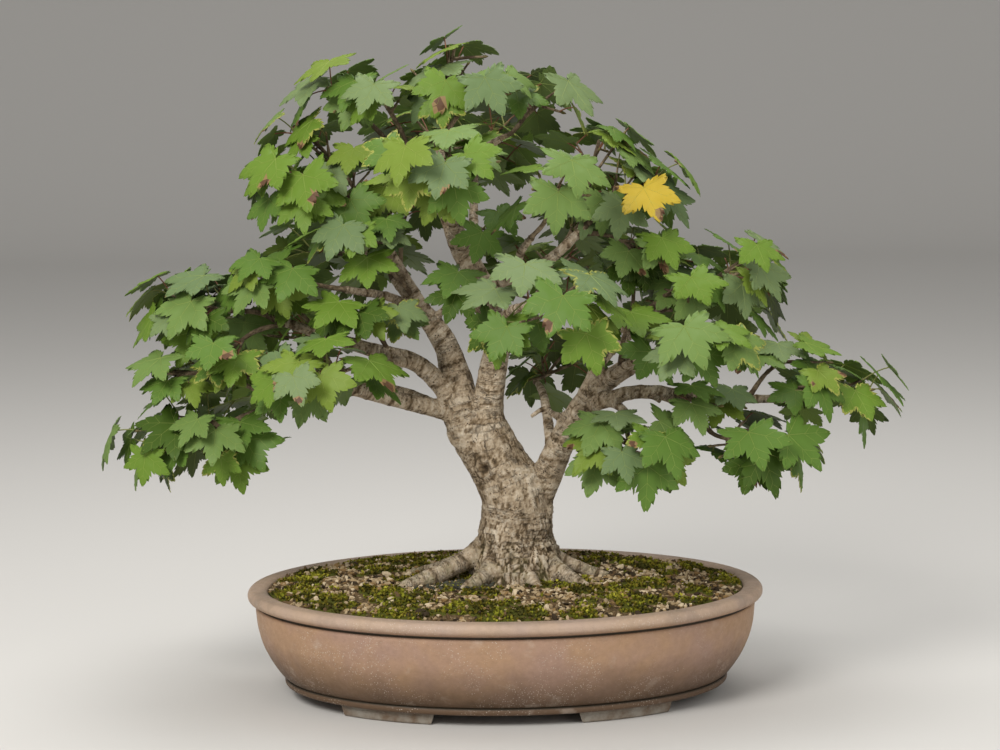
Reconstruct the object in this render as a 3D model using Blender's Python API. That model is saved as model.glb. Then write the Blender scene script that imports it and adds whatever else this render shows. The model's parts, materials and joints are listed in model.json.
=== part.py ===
"""A sycamore maple bonsai in an oval stoneware pot: pot, soil, trunk, boughs and masses of foliage.

Metres, +Z up. The origin is on the floor under the middle of the pot. +X runs along the pot's long
way and -Y is the front of the tree. Each named object is one closed solid.
"""
import math
import random
from dataclasses import dataclass

import bmesh
import bpy
import numpy as np
from mathutils import Matrix, Vector

# Clearance between neighbouring pieces, and the size below which a sliver left by a cut is closed up
GAP = 0.0003
SLIVER = 0.000005

# Pot: an oval of true ellipses, each drawn in from the rim by an inset
RIM_HALF_LENGTH = 0.280
RIM_HALF_DEPTH = 0.202
RIM_TOP = 0.1175
LIP_HEIGHT = 0.0134
LIP_WIDTH = 0.022
LIP_OVERHANG = 0.0085
WALL_THICKNESS = 0.012
WALL_SWELL = 0.031
WALL_CURVE = 2.4
WALL_RING_SPREAD = 1.4
FLOOR_TOP = 0.027
LIP_CREST = 0.55
LIP_INNER_ROUND = 0.003
LIP_INNER_SHOULDER = 0.0008
LIP_INNER_DROP = 0.0035
BAND_INSET = 0.0385
BAND_HEIGHT = 0.0075
BAND_BEVEL = 0.002
BAND_BEVEL_RISE = 0.0015
FOOT_HEIGHT = 0.0125
FOOT_INSET = 0.047
FOOT_WIDTH = 0.030
FOOT_MIDDLE = 0.125
FOOT_HALF_LENGTH = 0.050
FOOT_END_SLOPE = 0.004
FOOT_SINK = 0.003
FOOT_STEPS = 6
OVAL_SIDES = 36
WALL_STEPS = 5
INNER_STEPS = 3
LIP_STEPS = 5

# Soil: fills the pot and rises to a level patch that the trunk's flat cut stands on
SOIL_TOP = 0.1260
SOIL_EDGE_DROP = 0.0055
SOIL_EDGE_RISE = 0.003
SOIL_EDGE_ROUND = 0.004
SOIL_DOME_STEPS = 3
SOIL_CLEARANCE = 0.00045
SOIL_PATCH_HALF_LENGTH = 0.150
SOIL_PATCH_HALF_DEPTH = 0.102
GROUND = SOIL_TOP + GAP

# Trunk: centre line and radius from below the ground cut to the tip of the centre leader
TRUNK_KNOTS = (
    (0.014, 0.000, 0.110, 0.0560),
    (0.012, 0.000, 0.146, 0.0455),
    (0.011, 0.000, 0.168, 0.0410),
    (0.014, 0.000, 0.192, 0.0390),
    (0.013, 0.000, 0.214, 0.0380),
    (0.001, 0.000, 0.240, 0.0315),
    (-0.012, -0.002, 0.272, 0.0265),
    (-0.017, -0.004, 0.305, 0.0180),
    (-0.011, -0.008, 0.350, 0.0150),
    (-0.006, -0.010, 0.389, 0.0133),
    (-0.022, 0.000, 0.443, 0.0128),
    (-0.046, 0.000, 0.492, 0.0115),
    (-0.058, 0.000, 0.536, 0.0085),
    (-0.065, 0.000, 0.590, 0.0055),
    (-0.064, 0.000, 0.612, 0.0042),
)
LEFT_STEM_KNOTS = (
    (-0.004, 0.000, 0.225, 0.0220),
    (-0.022, 0.003, 0.260, 0.0235),
    (-0.038, 0.006, 0.290, 0.0225),
    (-0.0465, 0.009, 0.316, 0.0205),
    (-0.0500, 0.012, 0.339, 0.0168),
)
ROOT_START_HEIGHT = 0.178
ROOT_END_RADIUS = 0.0040
ROOT_END_DEPTH = 0.0012
ROOT_STEPS = ((0.12, 1.0, 1.0), (0.40, 0.46, 0.86), (0.72, 0.15, 0.62), (1.0, 0.0, 0.0))
ROOT_WANDER = 0.22
GROUND_CUT_SIZE = 0.2
BOUGH_TAPER = 0.8
THICK_BOUGH = 0.0080
STRAIGHT_START = 0.004

# A leaf: its size, and its five corners as (angle from the middle lobe, share of its length)
LEAF_LENGTH = 0.054
LEAF_THICKNESS = 0.0030
LEAF_CORNERS = ((150, 0.060), (112, 0.60), (54, 0.92), (27, 0.56), (0, 1.0))
LEAF_MIDDLE = 0.015
PETIOLE_LENGTH = 0.046
PETIOLE_RADIUS = 0.0009
JOINT_OFFSET = 0.0007
FOLD_LEAST = 0.17
SAMPLE_RINGS = (1.0, 0.78, 0.52, 0.25)
STALK_SAMPLES = (0.3, 0.55, 0.75)

# How a leaf is placed: its shares of the ways that it faces and hangs, and the ranges drawn from
CROWN_AXIS = (-0.02, 0.0)
SPOKE_SQUEEZE = 0.35
FACE_OUT = 0.50
FACE_SPOKE = 0.55
FACE_UP = 0.50
FACE_JITTER = 0.25
HANG_ALONG = 0.75
HANG_SPOKE = 0.25
HANG_DOWN = 0.62
SIDE_SPREAD = (0.70, 1.25)
SIDE_TURN = 0.35
SIDE_LIFT = 0.12
SIDE_REACH = (0.55, 1.0)
SIDE_SIZE = (0.78, 1.0)
SIDE_SHORTENING = 0.45
END_REACH = (0.30, 0.70)
END_SIZE = (0.85, 1.0)
END_SHORTENING = 0.70
LEAST_SIZE = 0.72
LEAF_TRIES = 14

# A mass: its stem, the shoots off it, and the pairs of leaves on each shoot
STEM_BEND = 0.35
STEM_PAST_CENTRE = 0.12
STEM_TAPER = (0.95, 0.85)
STEM_TIP_RADIUS = 0.0036
SHOOT_ZONE = (0.45, 0.97)
SHOOT_RADIUS = 0.0022
SHOOT_TIP_RADIUS = 0.0018
SHOOT_REACH = (0.34, 0.50)
SHOOT_LEAST = 0.012
SHOOT_SAMPLES = 8
AIM_HIGHEST = 0.95
AIM_LOWEST = -0.50
SIDE_LEAVES = 4
PAIR_FROM_TIP = 0.0025
PAIR_SPACING = 0.36
LEAF_APART = 0.0062
LIMB_APART = 0.0022
SPACE_APART = 0.0008
SPACE_FLATNESS = 0.72
LIMB_SEARCH = 0.04
UP = np.array((0.0, 0.0, 1.0))
CROWN_SEED = 41
GOLDEN_ANGLE = math.pi * (3.0 - math.sqrt(5.0))

# Colours: red, green, blue, then roughness
STONEWARE = (0.27, 0.18, 0.13, 0.62)
EARTH = (0.07, 0.055, 0.03, 0.95)
BARK = (0.33, 0.28, 0.21, 0.85)
LEAF_GREEN = (0.07, 0.16, 0.05, 0.55)


@dataclass(frozen=True)
class Root:
    """One surface root: the way it runs, how far, and how thick it starts."""

    heading: float
    reach: float
    radius: float


@dataclass(frozen=True)
class Bough:
    """One tapering limb, from a place along its parent through bends to its tip."""

    name: str
    parent: str
    along: float
    bends: tuple
    tip: tuple
    base_radius: float
    tip_radius: float


@dataclass(frozen=True)
class Mass:
    """One mass of foliage: the bough it grows on and the oval space that it keeps to."""

    place: str
    bough: str
    centre: tuple
    half: tuple
    shoots: int


ROOTS = (
    Root(heading=195, reach=0.128, radius=0.0180),
    Root(heading=160, reach=0.108, radius=0.0130),
    Root(heading=238, reach=0.082, radius=0.0160),
    Root(heading=283, reach=0.062, radius=0.0120),
    Root(heading=330, reach=0.084, radius=0.0170),
    Root(heading=12, reach=0.092, radius=0.0120),
    Root(heading=62, reach=0.082, radius=0.0140),
    Root(heading=112, reach=0.086, radius=0.0130),
)

BOUGHS = (
    Bough("right_bough", "trunk", 0.16,
          ((0.038, -0.005, 0.220), (0.069, -0.015, 0.288), (0.100, -0.020, 0.332)),
          (0.143, -0.020, 0.362), 0.0200, 0.0095),
    Bough("left_leader", "left_stem", 1.0, ((-0.063, 0.015, 0.383), (-0.092, 0.015, 0.425)),
          (-0.122, 0.012, 0.482), 0.0160, 0.0064),
    Bough("left_leader_branch", "left_leader", 0.36, ((-0.112, -0.006, 0.430),),
          (-0.166, -0.028, 0.444), 0.0070, 0.0038),
    Bough("left_upper_bough", "left_stem", 0.78, ((-0.091, -0.010, 0.361), (-0.143, -0.028, 0.380)),
          (-0.236, -0.034, 0.412), 0.0125, 0.0046),
    Bough("left_lower_bough", "left_stem", 0.70, ((-0.128, -0.030, 0.329), (-0.176, -0.046, 0.340)),
          (-0.244, -0.050, 0.322), 0.0112, 0.0050),
    Bough("left_front_bough", "left_upper_bough", 0.34, ((-0.128, -0.055, 0.366),),
          (-0.140, -0.076, 0.368), 0.0058, 0.0036),
    Bough("left_back_bough", "left_stem", 0.62, ((-0.105, 0.062, 0.318), (-0.160, 0.096, 0.326)),
          (-0.198, 0.112, 0.326), 0.0100, 0.0042),
    Bough("back_left_bough", "left_leader", 0.10, ((-0.085, 0.062, 0.400),),
          (-0.120, 0.112, 0.440), 0.0090, 0.0040),
    Bough("apex_left_bough", "trunk", 0.80, ((-0.088, 0.004, 0.560),),
          (-0.118, 0.004, 0.596), 0.0062, 0.0036),
    Bough("apex_right_bough", "trunk", 0.84, ((-0.028, 0.008, 0.580),),
          (0.000, 0.004, 0.600), 0.0058, 0.0036),
    Bough("upper_front_bough", "trunk", 0.74, ((-0.052, -0.050, 0.520),),
          (-0.050, -0.096, 0.545), 0.0070, 0.0038),
    Bough("back_top_bough", "trunk", 0.69, ((-0.030, 0.056, 0.500),),
          (-0.028, 0.110, 0.552), 0.0074, 0.0038),
    Bough("upper_right_bough", "trunk", 0.665, ((0.004, -0.022, 0.452), (0.048, -0.036, 0.472)),
          (0.088, -0.026, 0.506), 0.0086, 0.0046),
    Bough("upper_right_front_bough", "upper_right_bough", 0.36, ((0.020, -0.052, 0.482),),
          (0.032, -0.064, 0.500), 0.0054, 0.0034),
    Bough("front_bough", "trunk", 0.56, ((0.006, -0.062, 0.420), (0.020, -0.096, 0.430)),
          (0.034, -0.122, 0.436), 0.0078, 0.0040),
    Bough("back_bough", "trunk", 0.50, ((0.018, 0.058, 0.386),),
          (0.042, 0.112, 0.424), 0.0082, 0.0040),
    Bough("right_upper_bough", "right_bough", 0.66, ((0.113, -0.018, 0.384), (0.142, -0.018, 0.408)),
          (0.176, -0.014, 0.424), 0.0082, 0.0050),
    Bough("right_front_bough", "right_bough", 0.82, ((0.134, -0.062, 0.366),),
          (0.146, -0.086, 0.376), 0.0060, 0.0036),
    Bough("right_lower_bough", "right_bough", 0.64, ((0.144, -0.052, 0.334), (0.218, -0.052, 0.326)),
          (0.306, -0.028, 0.321), 0.0090, 0.0040),
    Bough("right_low_bough", "right_lower_bough", 0.40, ((0.196, -0.066, 0.316),),
          (0.210, -0.076, 0.304), 0.0052, 0.0034),
    Bough("right_inner_bough", "right_lower_bough", 0.14, ((0.128, -0.066, 0.316),),
          (0.130, -0.082, 0.304), 0.0052, 0.0034),
    Bough("back_right_bough", "right_bough", 0.52, ((0.108, 0.052, 0.352),),
          (0.156, 0.108, 0.386), 0.0084, 0.0042),
    Bough("back_low_bough", "right_bough", 0.34, ((0.046, 0.040, 0.312),),
          (0.040, 0.106, 0.322), 0.0066, 0.0036),
)

MASSES = (
    Mass("left_low", "left_lower_bough", (-0.332, -0.035, 0.286), (0.124, 0.094, 0.072), 8),
    Mass("left_front", "left_front_bough", (-0.182, -0.130, 0.362), (0.096, 0.090, 0.062), 5),
    Mass("left_upper", "left_upper_bough", (-0.326, -0.010, 0.418), (0.104, 0.098, 0.068), 7),
    Mass("left_shoulder", "left_leader_branch", (-0.224, -0.034, 0.456), (0.082, 0.082, 0.056), 4),
    Mass("left_leader", "left_leader", (-0.192, -0.015, 0.548), (0.118, 0.096, 0.080), 7),
    Mass("left_back", "left_back_bough", (-0.282, 0.150, 0.328), (0.116, 0.094, 0.066), 6),
    Mass("back_left", "back_left_bough", (-0.178, 0.190, 0.462), (0.118, 0.096, 0.074), 6),
    Mass("apex_left", "apex_left_bough", (-0.162, 0.006, 0.640), (0.084, 0.092, 0.058), 4),
    Mass("apex", "trunk", (-0.064, 0.000, 0.656), (0.086, 0.094, 0.066), 6),
    Mass("apex_right", "apex_right_bough", (0.036, 0.004, 0.636), (0.084, 0.092, 0.062), 5),
    Mass("upper_front", "upper_front_bough", (-0.052, -0.156, 0.576), (0.102, 0.090, 0.066), 5),
    Mass("back_top", "back_top_bough", (-0.030, 0.174, 0.584), (0.116, 0.096, 0.076), 6),
    Mass("upper_right", "upper_right_bough", (0.142, 0.000, 0.544), (0.086, 0.098, 0.070), 6),
    Mass("upper_right_front", "upper_right_front_bough", (0.050, -0.122, 0.548), (0.084, 0.086, 0.070), 5),
    Mass("front", "front_bough", (0.052, -0.194, 0.432), (0.110, 0.088, 0.074), 6),
    Mass("back", "back_bough", (0.064, 0.190, 0.446), (0.114, 0.094, 0.070), 5),
    Mass("right_upper", "right_upper_bough", (0.244, 0.000, 0.446), (0.108, 0.096, 0.074), 7),
    Mass("right_front", "right_front_bough", (0.196, -0.144, 0.388), (0.094, 0.086, 0.056), 5),
    Mass("right_tip", "right_lower_bough", (0.362, 0.000, 0.320), (0.080, 0.084, 0.060), 5),
    Mass("right_low", "right_low_bough", (0.264, -0.084, 0.280), (0.096, 0.092, 0.066), 5),
    Mass("right_inner", "right_inner_bough", (0.132, -0.136, 0.284), (0.086, 0.086, 0.066), 5),
    Mass("back_right", "back_right_bough", (0.232, 0.172, 0.398), (0.114, 0.094, 0.070), 6),
    Mass("back_low", "back_low_bough", (0.066, 0.168, 0.330), (0.088, 0.084, 0.056), 4),
)


# Scene, collections and materials
def clear_scene():
    for item in list(bpy.data.objects):
        bpy.data.objects.remove(item, do_unlink=True)


def new_collection(name):
    collection = bpy.data.collections.new(name)
    bpy.context.scene.collection.children.link(collection)
    return collection


def principled(name, finish):
    material = bpy.data.materials.new(name)
    material.use_nodes = True
    shader = material.node_tree.nodes["Principled BSDF"]
    shader.inputs["Base Color"].default_value = (*finish[:3], 1.0)
    shader.inputs["Roughness"].default_value = finish[3]
    shader.inputs["Metallic"].default_value = 0.0
    return material


def object_from_bmesh(name, shape, collection):
    bmesh.ops.recalc_face_normals(shape, faces=shape.faces)
    mesh = bpy.data.meshes.new(name)
    shape.to_mesh(mesh)
    shape.free()
    piece = bpy.data.objects.new(name, mesh)
    collection.objects.link(piece)
    return piece


def bake_modifiers(piece):
    depsgraph = bpy.context.evaluated_depsgraph_get()
    baked = bpy.data.meshes.new_from_object(piece.evaluated_get(depsgraph))
    piece.modifiers.clear()
    piece.data = baked


def shade_round(piece, sharp_angle):
    piece.data.shade_smooth()
    piece.data.set_sharp_from_angle(angle=sharp_angle)


def empty_out(collection):
    for item in list(collection.objects):
        bpy.data.objects.remove(item, do_unlink=True)
    bpy.data.collections.remove(collection)


def boolean(piece, operation, operand, self_crossing=False):
    """Add a Boolean with one object or a whole collection as its operand."""
    modifier = piece.modifiers.new(operation.lower(), "BOOLEAN")
    modifier.operation = operation
    modifier.solver = "EXACT"
    modifier.use_self = self_crossing
    if isinstance(operand, bpy.types.Collection):
        modifier.operand_type = "COLLECTION"
        modifier.collection = operand
    else:
        modifier.object = operand
    return modifier


def keep_largest_shell(piece):
    """Drop loose scraps and the walls of any hollow that fusing has sealed."""
    shape = bmesh.new()
    shape.from_mesh(piece.data)
    bmesh.ops.triangulate(shape, faces=shape.faces)
    bmesh.ops.dissolve_degenerate(shape, edges=shape.edges, dist=SLIVER)
    bmesh.ops.triangulate(shape, faces=shape.faces)
    left = set(shape.faces)
    shells = []
    while left:
        stack = [left.pop()]
        shell = set(stack)
        while stack:
            for edge in stack.pop().edges:
                if len(edge.link_faces) != 2:
                    continue
                for face in edge.link_faces:
                    if face in left:
                        left.discard(face)
                        shell.add(face)
                        stack.append(face)
        shells.append(shell)
    shells.sort(key=len, reverse=True)
    for shell in shells[1:]:
        bmesh.ops.delete(shape, geom=list(shell), context="FACES")
    shape.to_mesh(piece.data)
    shape.free()


# Pot and soil
def oval_ring(inset, height):
    return RIM_HALF_LENGTH - inset, RIM_HALF_DEPTH - inset, height


def oval_loft(name, rings, collection):
    """Join level ellipses of (half length, half depth, height) and close both ends with a flat face."""
    shape = bmesh.new()
    loops = []
    for half_length, half_depth, height in rings:
        loop = []
        for step in range(OVAL_SIDES):
            angle = 2.0 * math.pi * step / OVAL_SIDES
            place = (half_length * math.cos(angle), half_depth * math.sin(angle), height)
            loop.append(shape.verts.new(place))
        loops.append(loop)
    for lower, upper in zip(loops, loops[1:]):
        for step in range(OVAL_SIDES):
            after = (step + 1) % OVAL_SIDES
            shape.faces.new((lower[step], lower[after], upper[after], upper[step]))
    shape.faces.new(loops[0])
    shape.faces.new(loops[-1])
    return object_from_bmesh(name, shape, collection)


def wall_inset(height):
    """The outer wall's inset from the rim: nearly upright above, curving in to the foot."""
    wall_top = RIM_TOP - LIP_HEIGHT
    share = (wall_top - height) / (wall_top - FOOT_HEIGHT - BAND_HEIGHT)
    return LIP_OVERHANG + WALL_SWELL * max(0.0, share) ** WALL_CURVE


def inner_wall_rings(clearance):
    """The inside of the pot from the floor to under the lip, kept clear of it for the soil."""
    wall_top = RIM_TOP - LIP_HEIGHT
    rings = []
    for step in range(INNER_STEPS):
        height = FLOOR_TOP + (wall_top - FLOOR_TOP) * step / (INNER_STEPS - 1)
        lift = clearance if step == 0 else 0.0
        rings.append(oval_ring(wall_inset(height) + WALL_THICKNESS + clearance, height + lift))
    return rings


def pot_rings():
    """The pot's section: from the base band up the wall, over the lip and down inside to the floor."""
    band_top = FOOT_HEIGHT + BAND_HEIGHT
    wall_top = RIM_TOP - LIP_HEIGHT
    rings = [oval_ring(BAND_INSET + BAND_BEVEL, FOOT_HEIGHT),
             oval_ring(BAND_INSET, FOOT_HEIGHT + BAND_BEVEL_RISE),
             oval_ring(BAND_INSET, band_top - BAND_BEVEL_RISE),
             oval_ring(BAND_INSET + BAND_BEVEL, band_top)]
    for step in range(1, WALL_STEPS + 1):
        height = band_top + (wall_top - band_top) * (step / WALL_STEPS) ** WALL_RING_SPREAD
        rings.append(oval_ring(wall_inset(height), height))
    lip_radius = LIP_HEIGHT / 2.0
    for step in range(1, LIP_STEPS):
        angle = math.pi * (step / LIP_STEPS - 0.5)
        inset = lip_radius * (1.0 - math.cos(angle))
        rings.append(oval_ring(inset, RIM_TOP - lip_radius * (1.0 - math.sin(angle))))
    rings.append(oval_ring(LIP_WIDTH * LIP_CREST, RIM_TOP))
    rings.append(oval_ring(LIP_WIDTH - LIP_INNER_ROUND, RIM_TOP - LIP_INNER_SHOULDER))
    rings.append(oval_ring(LIP_WIDTH, RIM_TOP - LIP_INNER_DROP))
    return rings + inner_wall_rings(0.0)[::-1]


def foot_piece(side_x, side_y, collection):
    """A block that follows the oval under the base, longer at its top than on the floor."""
    shape = bmesh.new()
    levels = []
    floor_level = (0.0, FOOT_HALF_LENGTH - FOOT_END_SLOPE)
    sunk_level = (FOOT_HEIGHT + FOOT_SINK, FOOT_HALF_LENGTH)
    for height, spread in (floor_level, sunk_level):
        loop = []
        outer = (FOOT_INSET, range(FOOT_STEPS + 1))
        inner = (FOOT_INSET + FOOT_WIDTH, range(FOOT_STEPS, -1, -1))
        for inset, order in (outer, inner):
            half_length, half_depth, _ = oval_ring(inset, height)
            for step in order:
                x = side_x * FOOT_MIDDLE + spread * (2.0 * step / FOOT_STEPS - 1.0)
                y = side_y * half_depth * math.sqrt(1.0 - (x / half_length) ** 2)
                loop.append(shape.verts.new((x, y, height)))
        levels.append(loop)
    count = len(levels[0])
    for step in range(count):
        after = (step + 1) % count
        shape.faces.new((levels[0][step], levels[0][after], levels[1][after], levels[1][step]))
    shape.faces.new(levels[0])
    shape.faces.new(levels[1])
    return object_from_bmesh("foot", shape, collection)


def build_pot(parts):
    pot = oval_loft("pot", pot_rings(), parts)
    feet = new_collection("feet")
    for side_x in (-1, 1):
        for side_y in (-1, 1):
            foot_piece(side_x, side_y, feet)
    boolean(pot, "UNION", feet)
    bake_modifiers(pot)
    empty_out(feet)
    pot.data.materials.clear()
    pot.data.materials.append(principled("stoneware", STONEWARE))
    shade_round(pot, math.radians(40))


def build_soil(parts):
    """Soil that fills the pot and rises in a low dome to its level patch."""
    edge_height = RIM_TOP - SOIL_EDGE_DROP + SOIL_EDGE_RISE
    edge = LIP_WIDTH + GAP
    rings = inner_wall_rings(SOIL_CLEARANCE)
    rings.append(oval_ring(edge, RIM_TOP - LIP_INNER_DROP))
    rings.append(oval_ring(edge + SOIL_EDGE_ROUND, edge_height))
    half_length, half_depth, _ = oval_ring(edge, edge_height)
    for step in range(1, SOIL_DOME_STEPS + 1):
        share = step / SOIL_DOME_STEPS
        rings.append((half_length + (SOIL_PATCH_HALF_LENGTH - half_length) * share,
                      half_depth + (SOIL_PATCH_HALF_DEPTH - half_depth) * share,
                      edge_height + (SOIL_TOP - edge_height) * math.sin(share * math.pi / 2.0)))
    soil = oval_loft("soil", rings, parts)
    soil.data.materials.append(principled("earth", EARTH))
    shade_round(soil, math.radians(50))


# Limbs
def unit(vector):
    return vector / max(1e-9, np.linalg.norm(vector))


def smooth_knots(knots, per_span):
    """Points on a curve through the knots, whose last number is the radius."""
    rows = [np.array(knot, float) for knot in knots]
    padded = [2 * rows[0] - rows[1]] + rows + [2 * rows[-1] - rows[-2]]
    points = []
    for first, second, third, fourth in zip(padded, padded[1:], padded[2:], padded[3:]):
        for step in range(per_span):
            t = step / per_span
            points.append(0.5 * (2 * second + (third - first) * t
                                 + (2 * first - 5 * second + 4 * third - fourth) * t ** 2
                                 + (3 * second - first - 3 * third + fourth) * t ** 3))
    points.append(rows[-1])
    return np.array(points)


def point_along(path, share):
    """The point and radius at a share of a path's length."""
    steps = np.linalg.norm(np.diff(path[:, :3], axis=0), axis=1)
    travelled = np.concatenate(([0.0], np.cumsum(steps)))
    return np.array([np.interp(share * travelled[-1], travelled, path[:, k]) for k in range(4)])


def tube(name, path, roundness, collection, swell=0.0):
    """A closed tube of a round section along a path, from a bevelled curve."""
    curve = bpy.data.curves.new(name, "CURVE")
    curve.dimensions = "3D"
    curve.bevel_depth = 1.0
    curve.bevel_resolution = roundness
    curve.use_fill_caps = True
    spline = curve.splines.new("POLY")
    spline.points.add(len(path) - 1)
    for point, row in zip(spline.points, path):
        point.co = (*row[:3], 1.0)
        point.radius = row[3] + swell
    guide = bpy.data.objects.new(name + "_line", curve)
    collection.objects.link(guide)
    mesh = bpy.data.meshes.new_from_object(guide.evaluated_get(bpy.context.evaluated_depsgraph_get()))
    place = guide.matrix_world.copy()
    bpy.data.objects.remove(guide, do_unlink=True)
    bpy.data.curves.remove(curve)
    shape = bmesh.new()
    shape.from_mesh(mesh)
    bpy.data.meshes.remove(mesh)
    bmesh.ops.remove_doubles(shape, verts=shape.verts, dist=0.00001)
    piece = object_from_bmesh(name, shape, collection)
    piece.matrix_world = place
    return piece


def root_path(root):
    """A root's line: out of the trunk's foot, bending down to run along the ground."""
    heading = math.radians(root.heading)
    foot_x, foot_y = TRUNK_KNOTS[1][:2]
    knots = []
    for share, drop, slim in ROOT_STEPS:
        turn = heading + ROOT_WANDER * share * math.sin(3.0 * root.heading)
        radius = ROOT_END_RADIUS + (root.radius - ROOT_END_RADIUS) * slim
        height = GROUND - ROOT_END_DEPTH + (ROOT_START_HEIGHT - GROUND) * drop
        out = root.reach * share
        knots.append((foot_x + out * math.cos(turn), foot_y + out * math.sin(turn), height, radius))
    return smooth_knots(knots, 2)


def build_trunk(parts, cutters, paths):
    """Stem, left stem and surface roots fused, and cut flat at ground level."""
    paths["trunk"] = smooth_knots(TRUNK_KNOTS, 2)
    paths["left_stem"] = smooth_knots(LEFT_STEM_KNOTS, 2)
    trunk = tube("trunk", paths["trunk"], 3, parts)
    fused = new_collection("trunk_pieces")
    tube("left_stem", paths["left_stem"], 3, fused)
    for number, root in enumerate(ROOTS):
        tube(f"root_{number}", root_path(root), 1, fused)
    boolean(trunk, "UNION", fused, self_crossing=True)
    bake_modifiers(trunk)
    empty_out(fused)
    bpy.ops.mesh.primitive_cube_add(size=1.0, location=(0.0, 0.0, GROUND - GROUND_CUT_SIZE / 2.0))
    ground = bpy.context.active_object
    ground.name = "ground_cut"
    ground.scale = (1.0, 1.0, GROUND_CUT_SIZE)
    move_to_cutters(ground, cutters)
    boolean(trunk, "DIFFERENCE", ground, self_crossing=True)
    bake_modifiers(trunk)
    keep_largest_shell(trunk)
    trunk.data.materials.clear()
    trunk.data.materials.append(principled("trunk_bark", BARK))
    shade_round(trunk, math.radians(50))


def move_to_cutters(piece, cutters):
    for collection in list(piece.users_collection):
        collection.objects.unlink(piece)
    cutters.objects.link(piece)
    piece.hide_render = True
    piece.display_type = "WIRE"


def bough_path(bough, paths):
    """A bough's line and taper, from its parent's middle or end through its bends to its tip."""
    parent = paths[bough.parent]
    start = point_along(parent, bough.along)[:3]
    stops = [start] + [np.array(bend) for bend in bough.bends] + [np.array(bough.tip)]
    carried_on = bough.along == 1.0
    if carried_on:
        run = unit(parent[-1, :3] - parent[-2, :3])
        stops[0] = start + STRAIGHT_START * run
    steps = [np.linalg.norm(after - before) for before, after in zip(stops, stops[1:])]
    lengths = np.concatenate(([0.0], np.cumsum(steps)))
    knots = []
    for stop, length in zip(stops, lengths):
        tapered = (length / lengths[-1]) ** BOUGH_TAPER
        radius = bough.base_radius + (bough.tip_radius - bough.base_radius) * tapered
        knots.append((*stop, radius))
    path = smooth_knots(knots, 2)
    return np.vstack([(*(start + GAP * run), bough.base_radius), path]) if carried_on else path


def path_box(path):
    reach = path[:, 3:]
    return np.min(path[:, :3] - reach, axis=0), np.max(path[:, :3] + reach, axis=0)


def paths_meet(first, second):
    """Whether the boxes round two limbs overlap."""
    first_low, first_high = path_box(first)
    second_low, second_high = path_box(second)
    return bool(np.all(first_low < second_high) and np.all(second_low < first_high))


def build_boughs(parts, cutters, paths):
    """Each bough is trimmed by the limbs before it, a little swollen, so that they stay just clear."""
    bark = principled("bough_bark", BARK)
    swollen = {"trunk": tube("trunk_swollen", paths["trunk"], 3, cutters, GAP)}
    left_stem = tube("left_stem_swollen", paths["left_stem"], 3, cutters, GAP)
    boolean(swollen["trunk"], "UNION", left_stem, self_crossing=True)
    bake_modifiers(swollen["trunk"])
    bpy.data.objects.remove(left_stem, do_unlink=True)
    for bough in BOUGHS:
        path = bough_path(bough, paths)
        roundness = 2 if bough.base_radius > THICK_BOUGH else 1
        piece = tube(bough.name, path, roundness, parts)
        for name, trimmer in swollen.items():
            if bough.along < 1.0 and paths_meet(path, paths[name]):
                boolean(piece, "DIFFERENCE", trimmer)
        bake_modifiers(piece)
        keep_largest_shell(piece)
        paths[bough.name] = path
        swollen[bough.name] = tube(f"{bough.name}_swollen", path, roundness, cutters, GAP)
        piece.data.materials.clear()
        piece.data.materials.append(bark)
        shade_round(piece, math.radians(50))
    for piece in swollen.values():
        move_to_cutters(piece, cutters)


# Foliage
class Space:
    """The room that a mass keeps to: its own oval, and its own side of the wall to each other mass."""

    def __init__(self, mass, masses, paths):
        self.centre = np.array(mass.centre)
        self.half = np.array(mass.half)
        self.walls = [self.wall(mass, other) for other in masses if other is not mass]
        rows = [(start, end) for path in paths for start, end in zip(path, path[1:])]
        near = [row for row in rows if self.is_near(row)]
        self.limb_starts = np.array([start for start, _ in near])
        self.limb_ends = np.array([end for _, end in near])

    @staticmethod
    def wall(mass, other):
        """A flat wall between two masses, as a unit normal and an offset: inside is below the offset."""
        stretch = np.array((1.0, 1.0, 1.0 / SPACE_FLATNESS)) ** 2
        mine, theirs = np.array(mass.centre), np.array(other.centre)
        normal = 2.0 * stretch * (theirs - mine)
        reach_mine = (mass.half[0] + mass.half[1]) / 2.0
        reach_theirs = (other.half[0] + other.half[1]) / 2.0
        offset = np.sum(stretch * (theirs ** 2 - mine ** 2)) + reach_mine ** 2 - reach_theirs ** 2
        size = np.linalg.norm(normal)
        return normal / size, offset / size

    def is_near(self, row):
        """Whether a piece of limb, as its start and end, is in this space or just outside it."""
        middle = (row[0][:3] + row[1][:3]) / 2.0
        return np.linalg.norm((middle - self.centre) / (self.half + LIMB_SEARCH)) < 1.3

    def holds(self, points):
        """Whether every point is in the oval and on this mass's side of each wall."""
        if np.max(np.sum(((points - self.centre) / self.half) ** 2, axis=1)) > 1.0:
            return False
        return all(np.max(points @ normal) < offset - SPACE_APART for normal, offset in self.walls)

    def clears_limbs(self, points):
        """Whether every point is clear of each limb near this space."""
        if not len(self.limb_starts):
            return True
        start, end = self.limb_starts[None, :, :3], self.limb_ends[None, :, :3]
        run = end - start
        share = np.sum((points[:, None] - start) * run, axis=2) / np.sum(run * run, axis=2)
        share = np.clip(share, 0.0, 1.0)[..., None]
        distance = np.linalg.norm(points[:, None] - (start + run * share), axis=2)
        radius = np.maximum(self.limb_starts[:, 3], self.limb_ends[:, 3])[None]
        return bool(np.all(distance > radius + LIMB_APART))


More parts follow.
